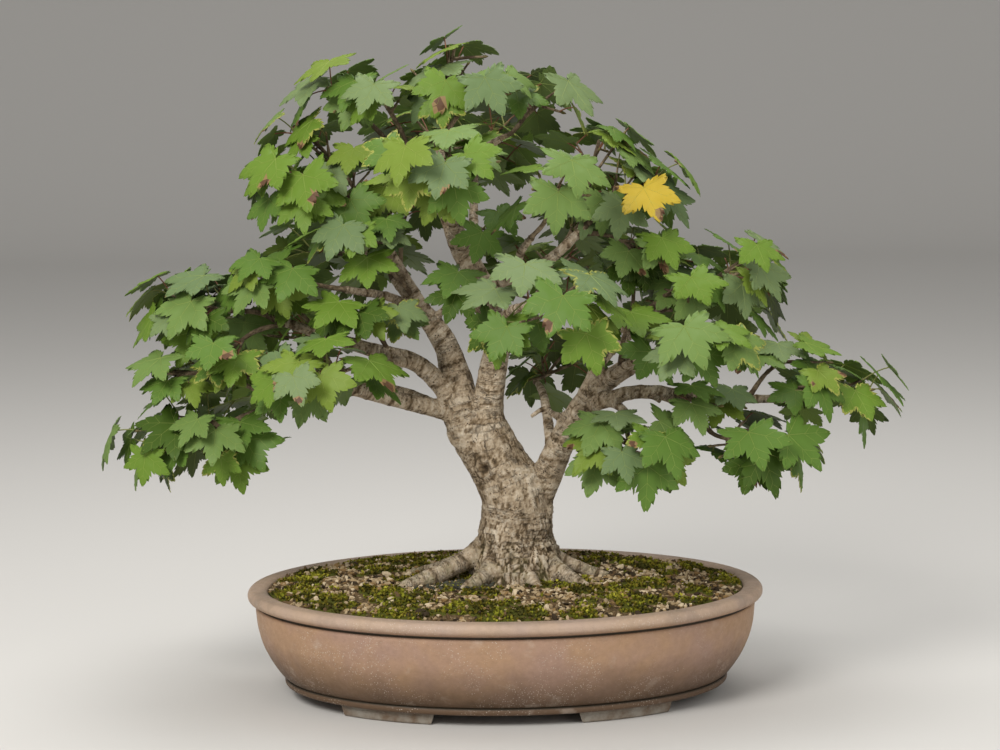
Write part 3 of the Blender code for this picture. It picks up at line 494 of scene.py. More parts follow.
# Pot
@dataclass(frozen=True)
class Pot:
    """The oval pot: a wall, a rolled lip, a base band and four feet.

    The sizes are those of the solid, with a finer section and an incised line under the lip.
    """

    rim_half_length: float = 0.280
    rim_half_depth: float = 0.202
    rim_top: float = 0.1175
    lip_height: float = 0.0134
    lip_width: float = 0.022
    lip_overhang: float = 0.0085
    wall_thickness: float = 0.012
    wall_swell: float = 0.031
    wall_curve: float = 2.4
    floor_top: float = 0.027
    band_inset: float = 0.0385
    band_height: float = 0.0075
    foot_height: float = 0.0125
    foot_inset: float = 0.047
    foot_width: float = 0.030
    foot_middle: float = 0.125
    foot_half_length: float = 0.050
    foot_end_slope: float = 0.004
    foot_sink: float = 0.003
    groove_depth: float = 0.0030
    groove_height: float = 0.0030
    sides: int = 360
    hand_wave: float = 0.0004

    def wall_inset(self, height: float) -> float:
        """Returns the outer wall's inset from the rim at a height."""
        wall_top = self.rim_top - self.lip_height
        share = (wall_top - height) / (wall_top - self.foot_height - self.band_height)
        inset = self.lip_overhang + self.wall_swell * max(0.0, share) ** self.wall_curve
        near = (height - (wall_top - self.groove_height)) / 0.0018
        return inset + self.groove_depth * math.exp(-near * near)

    def section(self) -> Array:
        """Returns the section as rows of inset and height, from the base over the lip to the inside floor."""
        band_top = self.foot_height + self.band_height
        wall_top = self.rim_top - self.lip_height
        rows = [(self.band_inset + 0.010, self.foot_height)]
        radius = self.band_height / 2.0
        for angle in np.radians(np.arange(-90.0, 91.0, 18.0)):
            bulge = radius * 0.7 * (1.0 - math.cos(angle))
            rows.append((self.band_inset + bulge, self.foot_height + radius * (1.0 + math.sin(angle))))
        for share in 1.0 - np.linspace(1.0, 0.0, 34)[1:] ** 1.5:
            height = band_top + (wall_top - band_top) * share
            rows.append((self.wall_inset(height), height))
        lip_radius = self.lip_height / 2.0
        for angle in np.radians(np.arange(-86.0, 80.0, 10.0)):
            rows.append((lip_radius * (1.0 - math.cos(angle)), self.rim_top - lip_radius * (1.0 - math.sin(angle))))
        for share, drop in ((0.42, 0.0002), (0.55, 0.0), (0.70, 0.0), (0.82, 0.0004), (0.92, 0.0014), (1.0, 0.0035)):
            rows.append((self.lip_width * share, self.rim_top - drop))
        for height in np.linspace(wall_top, self.floor_top, 6):
            rows.append((self.wall_inset(height) + self.wall_thickness, height))
        return np.array(rows)

    def make_body(self, clay: bpy.types.Material) -> bpy.types.Object:
        """Returns the pot's body, with the faint waves of hand work and its record of the painted shadow in the groove
        under the lip and the crease above the base band.
        """
        rows = self.section()
        turns = 2.0 * math.pi * np.arange(self.sides) / self.sides
        circle = np.stack([np.cos(turns), np.sin(turns)], axis=-1)
        rings = []
        for inset, height in rows:
            wave = self.hand_wave * np.array([noise.noise(Vector((4.0 * c, 4.0 * s, 60.0 * height)))
                                              for c, s in circle])
            inset_here = inset + 0.3 * self.hand_wave + wave.clip(-inset, 1.0)
            rings.append(np.stack([(self.rim_half_length - inset_here) * circle[:, 0],
                                   (self.rim_half_depth - inset_here) * circle[:, 1],
                                   np.full(self.sides, height)], axis=-1))
        rings += [np.array([(0.0, 0.0, rows[0][1])]), np.array([(0.0, 0.0, rows[-1][1])])]
        step = np.arange(self.sides)
        after = (step + 1) % self.sides
        first = np.arange(len(rows) - 1)[:, None] * self.sides
        walls = np.stack([first + step, first + after, first + self.sides + after, first + self.sides + step], axis=-1)
        last = (len(rows) - 1) * self.sides
        base_middle = np.full(self.sides, last + self.sides)
        base = np.stack([after, step, base_middle], axis=-1)
        inside = np.stack([last + step, last + after, base_middle + 1], axis=-1)
        body = Surface()
        body.add(np.vstack(rings), [(walls.reshape(-1, 4), 0), (base, 0), (inside, 0)])
        piece = body.make("pot_body", [clay], 50.0)
        wall_top = self.rim_top - self.lip_height
        # Painted shadow record: 0 in the groove under the lip's overhang and in the crease above the base band, 1
        # elsewhere.
        line = np.exp(-((rows[:, 1] - wall_top + self.groove_height) / 0.0018) ** 2) * (rows[:, 0] < 0.02)
        foot = np.exp(-((rows[:, 1] - self.foot_height - self.band_height) / 0.0022) ** 2)
        unshaded = 1.0 - np.maximum(line, 0.85 * foot)
        self.record_relief(piece, np.concatenate([np.repeat(unshaded, self.sides), [1.0, 1.0]]))
        return piece

    @staticmethod
    def record_relief(piece: bpy.types.Object, values: Array) -> None:
        """Writes a value for each point to the piece's relief record."""
        record = piece.data.attributes.new("relief", "FLOAT", "POINT")
        record.data.foreach_set("value", values.astype(np.float32))

    def make_foot(self, side_x: int, side_y: int, feet: Surface) -> None:
        """Adds one foot: a curved block that follows the base, with rounded edges."""
        across, along = 7, 25
        levels = ((0.0, -0.0012), (0.0008, -0.0003), (0.0022, 0.0), (self.foot_height, 0.0),
                  (self.foot_height + self.foot_sink, 0.0))
        rings = []
        for height, grow in levels:
            lean = self.foot_end_slope * min(1.0, height / self.foot_height)
            spread = self.foot_half_length - self.foot_end_slope + lean + grow
            line = np.linspace(-1.0, 1.0, along)
            ring = []
            for inset, steps in ((self.foot_inset - grow, line), (None, np.linspace(0.0, 1.0, across)[1:-1]),
                                 (self.foot_inset + self.foot_width + grow, line[::-1]),
                                 (None, np.linspace(1.0, 0.0, across)[1:-1])):
                if inset is None:
                    end = 1.0 if len(ring) == along else -1.0
                    insets = self.foot_inset - grow + (self.foot_width + 2.0 * grow) * steps
                    ring += [self.foot_point(side_x, side_y, end * spread, value, height) for value in insets]
                else:
                    ring += [self.foot_point(side_x, side_y, value * spread, inset, height) for value in steps]
            rings.append(np.array(ring))
        count = len(rings[0])
        step = np.arange(count)
        after = (step + 1) % count
        first = np.arange(len(rings) - 1)[:, None] * count
        walls = np.stack([first + step, first + after, first + count + after, first + count + step], axis=-1)
        last = (len(rings) - 1) * count
        middles = [rings[0].mean(axis=0)[None], rings[-1].mean(axis=0)[None]]
        under = np.full(count, last + count)
        caps = np.vstack([np.stack([after, step, under], axis=-1),
                          np.stack([last + step, last + after, under + 1], axis=-1)])
        if side_x * side_y < 0:
            walls, caps = walls[..., ::-1], caps[:, ::-1]
        feet.add(np.vstack(rings + middles), [(walls.reshape(-1, 4), 0), (caps, 0)])

    def foot_point(self, side_x: int, side_y: int, off: float, inset: float, height: float) -> Array:
        """Returns a point of a foot, off along the pot from the foot's middle."""
        half_length = self.rim_half_length - inset
        half_depth = self.rim_half_depth - inset
        x = self.foot_middle + off
        return np.array((side_x * x, side_y * half_depth * math.sqrt(1.0 - (x / half_length) ** 2), height))

    def build(self) -> None:
        """Builds the body and its feet."""
        settle(self.make_body(StonewareFinish().make()), "stoneware", "pot")
        feet = Surface()
        for side_x in (-1, 1):
            for side_y in (-1, 1):
                self.make_foot(side_x, side_y, feet)
        settle(feet.make("pot_feet", [FootFinish().make()], 40.0), "stoneware", "pot")


# Soil
@dataclass(frozen=True)
class Soil:
    """The soil's low dome with its moss and loose grit."""

    edge_half_length: float = 0.2575
    edge_half_depth: float = 0.1795
    edge_height: float = 0.1148
    patch_half_length: float = 0.150
    patch_half_depth: float = 0.102
    top: float = 0.1260
    skirt: float = 0.012
    rings: int = 74
    sectors: int = 380
    lump: float = 0.0016
    moss_rise: float = 0.0032
    moss_size: float = 26.0
    moss_share: float = 0.03
    grains: int = 7600
    grain_size: tuple[float, float] = (0.0010, 0.0032)
    ash_place: tuple[float, float] = (-0.050, -0.056)
    ash_half: tuple[float, float] = (0.034, 0.018)
    ash_grains: int = 220
    tufts: int = 15000
    tuft_height: tuple[float, float] = (0.0020, 0.0046)
    seed: int = 7

    def dome(self, x: Array, y: Array) -> Array:
        """Returns the dome's height at places in plan."""
        low, high = np.zeros_like(x), np.ones_like(x)
        for _ in range(24):
            share = 0.5 * (low + high)
            half_length = self.edge_half_length + (self.patch_half_length - self.edge_half_length) * share
            half_depth = self.edge_half_depth + (self.patch_half_depth - self.edge_half_depth) * share
            inside = (x / half_length) ** 2 + (y / half_depth) ** 2 < 1.0
            low, high = np.where(inside, share, low), np.where(inside, high, share)
        return self.edge_height + (self.top - self.edge_height) * np.sin(share * math.pi / 2.0)

    def moss(self, x: float, y: float) -> float:
        """Returns how mossy a place is, from 0 for bare soil to 1."""
        patch = noise.fractal(Vector((self.moss_size * x, self.moss_size * y * 1.25, 3.7)), 0.9, 2.1, 4)
        return float(ease(-0.10, 0.10, patch + self.moss_share))

    def height(self, x: Array, y: Array) -> tuple[Array, Array]:
        """Returns the surface's heights and mossiness at places in plan."""
        moss = np.array([self.moss(a, b) for a, b in zip(x, y)])
        lumps = np.array([noise.fractal(Vector((70.0 * a, 70.0 * b, 1.3)), 0.8, 2.0, 4) for a, b in zip(x, y)])
        pads = np.array([noise.voronoi(Vector((150.0 * a, 150.0 * b, 0.0)))[0][0] for a, b in zip(x, y)])
        rise = self.lump * lumps + moss * self.moss_rise * (1.0 - 0.8 * pads ** 2) - 0.0012
        level = self.dome(x, y)
        edge = np.sqrt((x / self.edge_half_length) ** 2 + (y / self.edge_half_depth) ** 2)
        return level + rise * (1.0 - 0.5 * ease(0.94, 1.0, edge)), moss

    def make_ground(self, earth: bpy.types.Material) -> bpy.types.Object:
        """Returns the soil's body, closed below."""
        turns = 2.0 * math.pi * np.arange(self.sectors) / self.sectors
        spreads = (np.arange(1, self.rings + 1) / self.rings) ** 0.7
        x = np.outer(spreads, self.edge_half_length * np.cos(turns)).ravel()
        y = np.outer(spreads, self.edge_half_depth * np.sin(turns)).ravel()
        z, moss = self.height(x, y)
        top = np.stack([x, y, z], axis=-1)
        skirt = top[-self.sectors:] * (0.985, 0.985, 0.0) + (0.0, 0.0, self.edge_height - self.skirt)
        middles = np.array([(0.0, 0.0, self.top), (0.0, 0.0, self.edge_height - self.skirt)])
        step = np.arange(self.sectors)
        after = (step + 1) % self.sectors
        first = np.arange(self.rings)[:, None] * self.sectors
        walls = np.stack([first + step, first + self.sectors + step, first + self.sectors + after, first + after],
                         axis=-1)
        last = self.rings * self.sectors
        top_middle = np.full(self.sectors, last + self.sectors)
        caps = np.vstack([np.stack([step, after, top_middle], axis=-1),
                          np.stack([last + after, last + step, top_middle + 1], axis=-1)])
        ground = Surface()
        ground.add(np.vstack([top, skirt, middles]), [(walls.reshape(-1, 4), 0), (caps, 0)])
        piece = ground.make("mossy_soil", [earth], 80.0)
        Pot.record_relief(piece, np.concatenate([moss, np.zeros(self.sectors + 2)]))
        return piece

    def scatter(self, count: int, draw: random.Random, mossy: bool) -> Array:
        """Returns places spread over the moss, or over the bare soil.

        Args:
            count: How many places are tried.
            draw: The source of chance.
            mossy: Whether the places are on moss.

        Returns:
            Rows of x, y and z.
        """
        spots = []
        for _ in range(count):
            reach, turn = math.sqrt(draw.random()) * 0.992, draw.uniform(0.0, 2.0 * math.pi)
            x = self.edge_half_length * reach * math.cos(turn)
            y = self.edge_half_depth * reach * math.sin(turn)
            moss = self.moss(x, y)
            if (moss if mossy else 1.0 - 0.86 * moss) > draw.random():
                spots.append((x, y))
        x, y = np.array(spots).T
        return np.stack([x, y, self.height(x, y)[0]], axis=-1)

    def make_grit(self) -> bpy.types.Object:
        """Returns the loose grains: small stones in several earth tints."""
        draw = random.Random(self.seed)
        golden = (1.0 + math.sqrt(5.0)) / 2.0
        corners = unit(np.array([(0, a, b * golden) for a in (-1, 1) for b in (-1, 1)]
                                + [(a, b * golden, 0) for a in (-1, 1) for b in (-1, 1)]
                                + [(a * golden, 0, b) for a in (-1, 1) for b in (-1, 1)], float))
        faces = np.array([(a, b, c) for a in range(12) for b in range(a + 1, 12) for c in range(b + 1, 12)
                          if max(np.linalg.norm(corners[a] - corners[b]), np.linalg.norm(corners[b] - corners[c]),
                                 np.linalg.norm(corners[a] - corners[c])) < 1.2])
        outward = np.einsum("ij,ij->i", np.cross(corners[faces[:, 1]] - corners[faces[:, 0]],
                                                 corners[faces[:, 2]] - corners[faces[:, 0]]), corners[faces[:, 0]])
        faces[outward < 0.0] = faces[outward < 0.0][:, ::-1]
        grit = Surface()
        ash = [(self.ash_place[0] + self.ash_half[0] * draw.gauss(0.0, 0.5),
                self.ash_place[1] + self.ash_half[1] * draw.gauss(0.0, 0.5)) for _ in range(self.ash_grains)]
        x, y = np.array(ash).T
        dark = np.stack([x, y, self.height(x, y)[0] + 0.0006], axis=-1)
        spots = self.scatter(self.grains, draw, False)
        for number, place in enumerate(np.vstack([spots, dark])):
            size = draw.uniform(*self.grain_size) * (1.35 if draw.random() < 0.08 else 1.0)
            shape = np.array((draw.uniform(1.0, 1.9), draw.uniform(0.6, 1.0), draw.uniform(0.3, 0.8)))
            turn = np.array(Matrix.Rotation(draw.uniform(0.0, 6.3), 3, "Z") @ Matrix.Rotation(draw.uniform(0.0, 6.3), 3, "X"))
            stone = (corners * shape * size * [[draw.uniform(0.8, 1.2)] for _ in range(12)]) @ turn
            slot = 6 if number >= len(spots) else min(5, int(draw.random() ** 0.95 * 6))
            grit.add(stone + place + (0.0, 0.0, 0.25 * size), [(faces, slot)])
        tints = (("grit_brown", (0.130, 0.082, 0.040)), ("grit_dark", (0.045, 0.031, 0.018)),
                 ("grit_ochre", (0.260, 0.165, 0.070)), ("grit_tan", (0.370, 0.270, 0.150)),
                 ("grit_pale", (0.600, 0.490, 0.330)), ("grit_sand", (0.430, 0.330, 0.200)),
                 ("grit_ash", (0.062, 0.062, 0.046)))
        return grit.make("loose_grit", [PlainFinish(name, tint, 0.9, 0.2).make() for name, tint in tints], 25.0)

    def make_moss(self) -> bpy.types.Object:
        """Returns the moss: tufts of short blades in several greens."""
        draw = random.Random(self.seed + 1)
        moss = Surface()
        for place in self.scatter(self.tufts, draw, True):
            height = draw.uniform(*self.tuft_height)
            points, faces = [], []
            for blade in range(3):
                turn = draw.uniform(0.0, 2.0 * math.pi)
                lean = draw.uniform(0.15, 1.0)
                width = height * draw.uniform(0.28, 0.42)
                out = np.array((math.cos(turn), math.sin(turn), 0.0))
                side = np.array((-math.sin(turn), math.cos(turn), 0.0))
                tip = out * height * lean + UP * height * draw.uniform(0.6, 1.0)
                middle = 0.45 * tip + UP * 0.12 * height
                points += [-UP * 0.0006, middle + side * width, middle - side * width, tip]
                faces += [(4 * blade, 4 * blade + 1, 4 * blade + 3), (4 * blade, 4 * blade + 3, 4 * blade + 2)]
            patch = noise.noise(Vector((30.0 * place[0], 30.0 * place[1], 9.0)))
            slot = int(np.clip(1.5 + 2.2 * patch + draw.uniform(-1.2, 1.2), 0, 3))
            moss.add(np.array(points) + place, [(np.array(faces), slot)])
        tints = (("moss_dark", (0.060, 0.056, 0.008)), ("moss_olive", (0.190, 0.155, 0.016)),
                 ("moss_green", (0.245, 0.250, 0.020)), ("moss_bright", (0.430, 0.400, 0.045)))
        return moss.make("moss_tufts", [PlainFinish(name, tint, 0.8, 0.2).make() for name, tint in tints], 180.0)

    def build(self) -> None:
        """Builds the soil, its grit and its moss."""
        settle(self.make_ground(EarthFinish().make()), "earth", "soil")
        settle(self.make_grit(), "earth", "soil")
        settle(self.make_moss(), "earth", "soil")


# Limbs: the source's own lines and sizes
TRUNK_KNOTS = (
    (0.014, 0.000, 0.110, 0.0560),
    (0.012, 0.000, 0.146, 0.0455),
    (0.011, 0.000, 0.168, 0.0410),
    (0.014, 0.000, 0.192, 0.0390),
    (0.013, 0.000, 0.214, 0.0380),
    (0.001, 0.000, 0.240, 0.0315),
    (-0.012, -0.002, 0.272, 0.0265),
    (-0.017, -0.004, 0.305, 0.0180),
    (-0.011, -0.008, 0.350, 0.0150),
    (-0.006, -0.010, 0.389, 0.0133),
    (-0.022, 0.000, 0.443, 0.0128),
    (-0.046, 0.000, 0.492, 0.0115),
    (-0.058, 0.000, 0.536, 0.0085),
    (-0.065, 0.000, 0.590, 0.0055),
    (-0.064, 0.000, 0.612, 0.0042),
)
LEFT_STEM_KNOTS = (
    (-0.004, 0.000, 0.225, 0.0220),
    (-0.022, 0.003, 0.260, 0.0235),
    (-0.038, 0.006, 0.290, 0.0225),
    (-0.0465, 0.009, 0.316, 0.0205),
    (-0.0500, 0.012, 0.339, 0.0168),
)
GROUND = 0.1263
ROOT_START_HEIGHT = 0.178
ROOT_END_RADIUS = 0.0040
ROOT_END_DEPTH = 0.0012
ROOT_STEPS = ((0.12, 1.0, 1.0), (0.40, 0.46, 0.86), (0.72, 0.15, 0.62), (1.0, 0.0, 0.0))
ROOT_WANDER = 0.22
ROOT_SLIMNESS = 0.66
ROOT_STRETCH = 1.09
BOUGH_TAPER = 0.8
STRAIGHT_START = 0.004


@dataclass(frozen=True)
class Root:
    """One surface root: the way it runs, how far, and how thick it starts."""

    heading: float
    reach: float
    radius: float


@dataclass(frozen=True)
class Bough:
    """One tapering limb, from a place along its parent through bends to its tip."""

    name: str
    parent: str
    along: float
    bends: tuple
    tip: tuple
    base_radius: float
    tip_radius: float


@dataclass(frozen=True)
class Mass:
    """One mass of foliage: the bough it grows on and the oval space that it keeps to."""

    place: str
    bough: str
    centre: tuple
    half: tuple
    shoots: int


@dataclass(frozen=True)
class Spray:
    """Finer growth between masses: the mass it counts with, where it leaves a limb, and its oval."""

    mass: str
    limb: str
    along: float
    centre: tuple
    half: tuple
    shoots: int


@dataclass(frozen=True)
class Snag:
    """A dead twig or cut stub on a limb, from its root through its bends to its end."""

    stops: tuple
    start_radius: float
    end_radius: float


@dataclass(frozen=True)
class Scar:
    """A healed wound on the bark: a ring of swollen bark round a hollow."""

    place: tuple
    ring: float
    rise: float
    hollow: float


ROOTS = (
    Root(heading=195, reach=0.128, radius=0.0180),
    Root(heading=160, reach=0.108, radius=0.0130),
    Root(heading=238, reach=0.082, radius=0.0160),
    Root(heading=283, reach=0.062, radius=0.0120),
    Root(heading=330, reach=0.084, radius=0.0170),
    Root(heading=12, reach=0.092, radius=0.0120),
    Root(heading=62, reach=0.082, radius=0.0140),
    Root(heading=112, reach=0.086, radius=0.0130),
)

BOUGHS = (
    Bough("right_bough", "trunk", 0.16,
          ((0.038, -0.005, 0.220), (0.069, -0.015, 0.288), (0.100, -0.020, 0.332)),
          (0.143, -0.020, 0.362), 0.0200, 0.0095),
    Bough("left_leader", "left_stem", 1.0, ((-0.063, 0.015, 0.383), (-0.092, 0.015, 0.425)),
          (-0.122, 0.012, 0.482), 0.0160, 0.0064),
    Bough("left_leader_branch", "left_leader", 0.36, ((-0.112, -0.006, 0.430),),
          (-0.166, -0.028, 0.444), 0.0070, 0.0038),
    Bough("left_upper_bough", "left_stem", 0.78, ((-0.091, -0.010, 0.361), (-0.143, -0.028, 0.380)),
          (-0.236, -0.034, 0.412), 0.0125, 0.0046),
    Bough("left_lower_bough", "left_stem", 0.70, ((-0.128, -0.030, 0.329), (-0.176, -0.046, 0.340)),
          (-0.244, -0.050, 0.322), 0.0112, 0.0050),
    Bough("left_front_bough", "left_upper_bough", 0.34, ((-0.128, -0.055, 0.366),),
          (-0.140, -0.076, 0.368), 0.0058, 0.0036),
    Bough("left_back_bough", "left_stem", 0.62, ((-0.105, 0.062, 0.318), (-0.160, 0.096, 0.326)),
          (-0.198, 0.112, 0.326), 0.0100, 0.0042),
    Bough("back_left_bough", "left_leader", 0.10, ((-0.085, 0.062, 0.400),),
          (-0.120, 0.112, 0.440), 0.0090, 0.0040),
    Bough("apex_left_bough", "trunk", 0.80, ((-0.088, 0.004, 0.560),),
          (-0.118, 0.004, 0.596), 0.0062, 0.0036),
    Bough("apex_right_bough", "trunk", 0.84, ((-0.028, 0.008, 0.580),),
          (0.000, 0.004, 0.600), 0.0058, 0.0036),
    Bough("upper_front_bough", "trunk", 0.74, ((-0.052, -0.050, 0.520),),
          (-0.050, -0.096, 0.545), 0.0070, 0.0038),
    Bough("back_top_bough", "trunk", 0.69, ((-0.030, 0.056, 0.500),),
          (-0.028, 0.110, 0.552), 0.0074, 0.0038),
    Bough("upper_right_bough", "trunk", 0.665, ((0.004, -0.022, 0.452), (0.048, -0.036, 0.472)),
          (0.088, -0.026, 0.506), 0.0086, 0.0046),
    Bough("upper_right_front_bough", "upper_right_bough", 0.36, ((0.020, -0.052, 0.482),),
          (0.032, -0.064, 0.500), 0.0054, 0.0034),
    Bough("front_bough", "trunk", 0.56, ((0.006, -0.062, 0.420), (0.020, -0.096, 0.430)),
          (0.034, -0.122, 0.436), 0.0078, 0.0040),
    Bough("back_bough", "trunk", 0.50, ((0.018, 0.058, 0.386),),
          (0.042, 0.112, 0.424), 0.0082, 0.0040),
    Bough("right_upper_bough", "right_bough", 0.66, ((0.113, -0.018, 0.384), (0.142, -0.018, 0.408)),
          (0.176, -0.014, 0.424), 0.0082, 0.0050),
    Bough("right_front_bough", "right_bough", 0.82, ((0.134, -0.062, 0.366),),
          (0.146, -0.086, 0.376), 0.0060, 0.0036),
    Bough("right_lower_bough", "right_bough", 0.64, ((0.144, -0.052, 0.334), (0.218, -0.052, 0.326)),
          (0.306, -0.028, 0.321), 0.0090, 0.0040),
    Bough("right_low_bough", "right_lower_bough", 0.40, ((0.196, -0.066, 0.316),),
          (0.210, -0.076, 0.304), 0.0052, 0.0034),
    Bough("right_inner_bough", "right_lower_bough", 0.14, ((0.128, -0.066, 0.316),),
          (0.130, -0.082, 0.304), 0.0052, 0.0034),
    Bough("back_right_bough", "right_bough", 0.52, ((0.108, 0.052, 0.352),),
          (0.156, 0.108, 0.386), 0.0084, 0.0042),
    Bough("back_low_bough", "right_bough", 0.34, ((0.046, 0.040, 0.312),),
          (0.040, 0.106, 0.322), 0.0066, 0.0036),
)

MASSES = (
    Mass("left_low", "left_lower_bough", (-0.332, -0.035, 0.286), (0.124, 0.094, 0.072), 8),
    Mass("left_front", "left_front_bough", (-0.182, -0.130, 0.362), (0.096, 0.090, 0.062), 5),
    Mass("left_upper", "left_upper_bough", (-0.326, -0.010, 0.418), (0.104, 0.098, 0.068), 7),
    Mass("left_shoulder", "left_leader_branch", (-0.224, -0.034, 0.456), (0.082, 0.082, 0.056), 4),
    Mass("left_leader", "left_leader", (-0.192, -0.015, 0.548), (0.118, 0.096, 0.080), 7),
    Mass("left_back", "left_back_bough", (-0.282, 0.150, 0.328), (0.116, 0.094, 0.066), 6),
    Mass("back_left", "back_left_bough", (-0.178, 0.190, 0.462), (0.118, 0.096, 0.074), 6),
    Mass("apex_left", "apex_left_bough", (-0.162, 0.006, 0.640), (0.084, 0.092, 0.058), 4),
    Mass("apex", "trunk", (-0.064, 0.000, 0.656), (0.086, 0.094, 0.066), 6),
    Mass("apex_right", "apex_right_bough", (0.036, 0.004, 0.636), (0.084, 0.092, 0.062), 5),
    Mass("upper_front", "upper_front_bough", (-0.052, -0.156, 0.576), (0.102, 0.090, 0.066), 5),
    Mass("back_top", "back_top_bough", (-0.030, 0.174, 0.584), (0.116, 0.096, 0.076), 6),
    Mass("upper_right", "upper_right_bough", (0.142, 0.000, 0.544), (0.086, 0.098, 0.070), 6),
    Mass("upper_right_front", "upper_right_front_bough", (0.050, -0.122, 0.548), (0.084, 0.086, 0.070), 5),
    Mass("front", "front_bough", (0.052, -0.194, 0.432), (0.110, 0.088, 0.074), 6),
    Mass("back", "back_bough", (0.064, 0.190, 0.446), (0.114, 0.094, 0.070), 5),
    Mass("right_upper", "right_upper_bough", (0.244, 0.000, 0.446), (0.108, 0.096, 0.074), 7),
    Mass("right_front", "right_front_bough", (0.196, -0.144, 0.388), (0.094, 0.086, 0.056), 5),
    Mass("right_tip", "right_lower_bough", (0.362, 0.000, 0.320), (0.080, 0.084, 0.060), 5),
    Mass("right_low", "right_low_bough", (0.264, -0.084, 0.280), (0.096, 0.092, 0.066), 5),
    Mass("right_inner", "right_inner_bough", (0.132, -0.136, 0.284), (0.086, 0.086, 0.066), 5),
    Mass("back_right", "back_right_bough", (0.232, 0.172, 0.398), (0.114, 0.094, 0.070), 6),
    Mass("back_low", "back_low_bough", (0.066, 0.168, 0.330), (0.088, 0.084, 0.056), 4),
)

OPEN_MASSES = ("front", "upper_front", "upper_right_front", "right_front", "apex_left", "apex_right")

SPRAYS = (
    Spray("apex_left", "apex_left_bough", 0.55, (-0.122, -0.024, 0.640), (0.062, 0.070, 0.052), 4),
    Spray("left_leader", "left_leader", 0.97, (-0.206, 0.000, 0.604), (0.074, 0.060, 0.036), 3),
    Spray("left_shoulder", "left_upper_bough", 0.80, (-0.262, -0.044, 0.448), (0.070, 0.070, 0.050), 4),
    Spray("left_front", "left_upper_bough", 0.45, (-0.152, -0.066, 0.418), (0.080, 0.066, 0.044), 4),
    Spray("left_shoulder", "left_leader", 0.62, (-0.134, -0.050, 0.468), (0.056, 0.060, 0.044), 2),
    Spray("front", "trunk", 0.55, (-0.052, -0.050, 0.436), (0.048, 0.056, 0.044), 2),
    Spray("left_low", "left_lower_bough", 0.96, (-0.354, -0.050, 0.356), (0.076, 0.078, 0.040), 4),
    Spray("left_upper", "left_upper_bough", 0.96, (-0.300, -0.072, 0.372), (0.080, 0.070, 0.040), 4),
    Spray("upper_right", "upper_right_bough", 0.95, (0.150, -0.020, 0.474), (0.066, 0.074, 0.056), 5),
    Spray("right_tip", "right_lower_bough", 0.80, (0.300, -0.030, 0.362), (0.080, 0.070, 0.040), 5),
    Spray("right_low", "right_lower_bough", 0.44, (0.206, -0.086, 0.322), (0.066, 0.064, 0.036), 3),
    Spray("right_low", "right_lower_bough", 0.52, (0.192, -0.084, 0.330), (0.052, 0.050, 0.034), 4),
    Spray("right_low", "right_lower_bough", 0.70, (0.246, -0.080, 0.318), (0.056, 0.050, 0.034), 4),
    Spray("right_tip", "right_lower_bough", 0.90, (0.326, -0.070, 0.334), (0.056, 0.056, 0.036), 4),
    Spray("apex", "trunk", 0.97, (-0.012, -0.034, 0.648), (0.060, 0.066, 0.044), 4),
    Spray("apex", "trunk", 0.98, (-0.048, 0.000, 0.690), (0.060, 0.060, 0.034), 2),
    Spray("upper_front", "trunk", 0.80, (-0.016, -0.060, 0.500), (0.054, 0.060, 0.044), 3),
    Spray("upper_right", "upper_right_bough", 0.98, (0.104, 0.000, 0.588), (0.080, 0.070, 0.038), 4),
    Spray("left_leader", "left_leader", 0.90, (-0.150, -0.060, 0.500), (0.070, 0.064, 0.044), 3),
    Spray("right_front", "right_bough", 0.90, (0.132, -0.070, 0.408), (0.062, 0.062, 0.044), 3),
    Spray("right_upper", "right_upper_bough", 0.80, (0.196, -0.060, 0.440), (0.070, 0.066, 0.044), 4),
    Spray("back_top", "back_top_bough", 0.90, (-0.090, 0.120, 0.600), (0.074, 0.070, 0.050), 4),
    Spray("back_right", "back_right_bough", 0.90, (0.150, 0.130, 0.450), (0.080, 0.074, 0.050), 4),
    Spray("back_left", "back_left_bough", 0.90, (-0.110, 0.150, 0.520), (0.070, 0.070, 0.050), 3),
    Spray("back", "back_bough", 0.95, (0.090, 0.120, 0.500), (0.074, 0.074, 0.050), 4),
    Spray("left_back", "left_back_bough", 0.90, (-0.226, 0.120, 0.380), (0.080, 0.074, 0.046), 4),
)

SNAGS = (
    Snag(((0.074, -0.014, 0.298), (0.056, -0.012, 0.304), (0.044, -0.013, 0.311), (0.030, -0.014, 0.303)), 0.0042, 0.0020),
    Snag(((0.134, -0.022, 0.356), (0.141, -0.028, 0.369), (0.144, -0.030, 0.377)), 0.0052, 0.0034),
    Snag(((-0.078, 0.012, 0.404), (-0.068, 0.010, 0.412), (-0.062, 0.009, 0.418)), 0.0044, 0.0030),
    Snag(((0.146, -0.050, 0.334), (0.158, -0.060, 0.330), (0.166, -0.064, 0.324)), 0.0032, 0.0018),
)

SCARS = (
    Scar((-0.020, -0.0255, 0.249), 0.0085, 0.0030, 0.0036),
    Scar((0.080, -0.034, 0.309), 0.0060, 0.0022, 0.0030),
    Scar((-0.052, -0.010, 0.282), 0.0100, 0.0028, -0.0010),
    Scar((0.024, -0.052, 0.134), 0.0050, 0.0022, -0.0010),
    Scar((0.054, -0.016, 0.200), 0.0060, 0.0020, -0.0008),
    Scar((0.032, -0.026, 0.232), 0.0070, 0.0018, 0.0006),
    Scar((-0.100, -0.004, 0.430), 0.0050, 0.0016, 0.0014),
    Scar((0.116, -0.034, 0.346), 0.0055, 0.0018, 0.0012),
    Scar((-0.008, -0.020, 0.330), 0.0050, 0.0012, 0.0010),
)


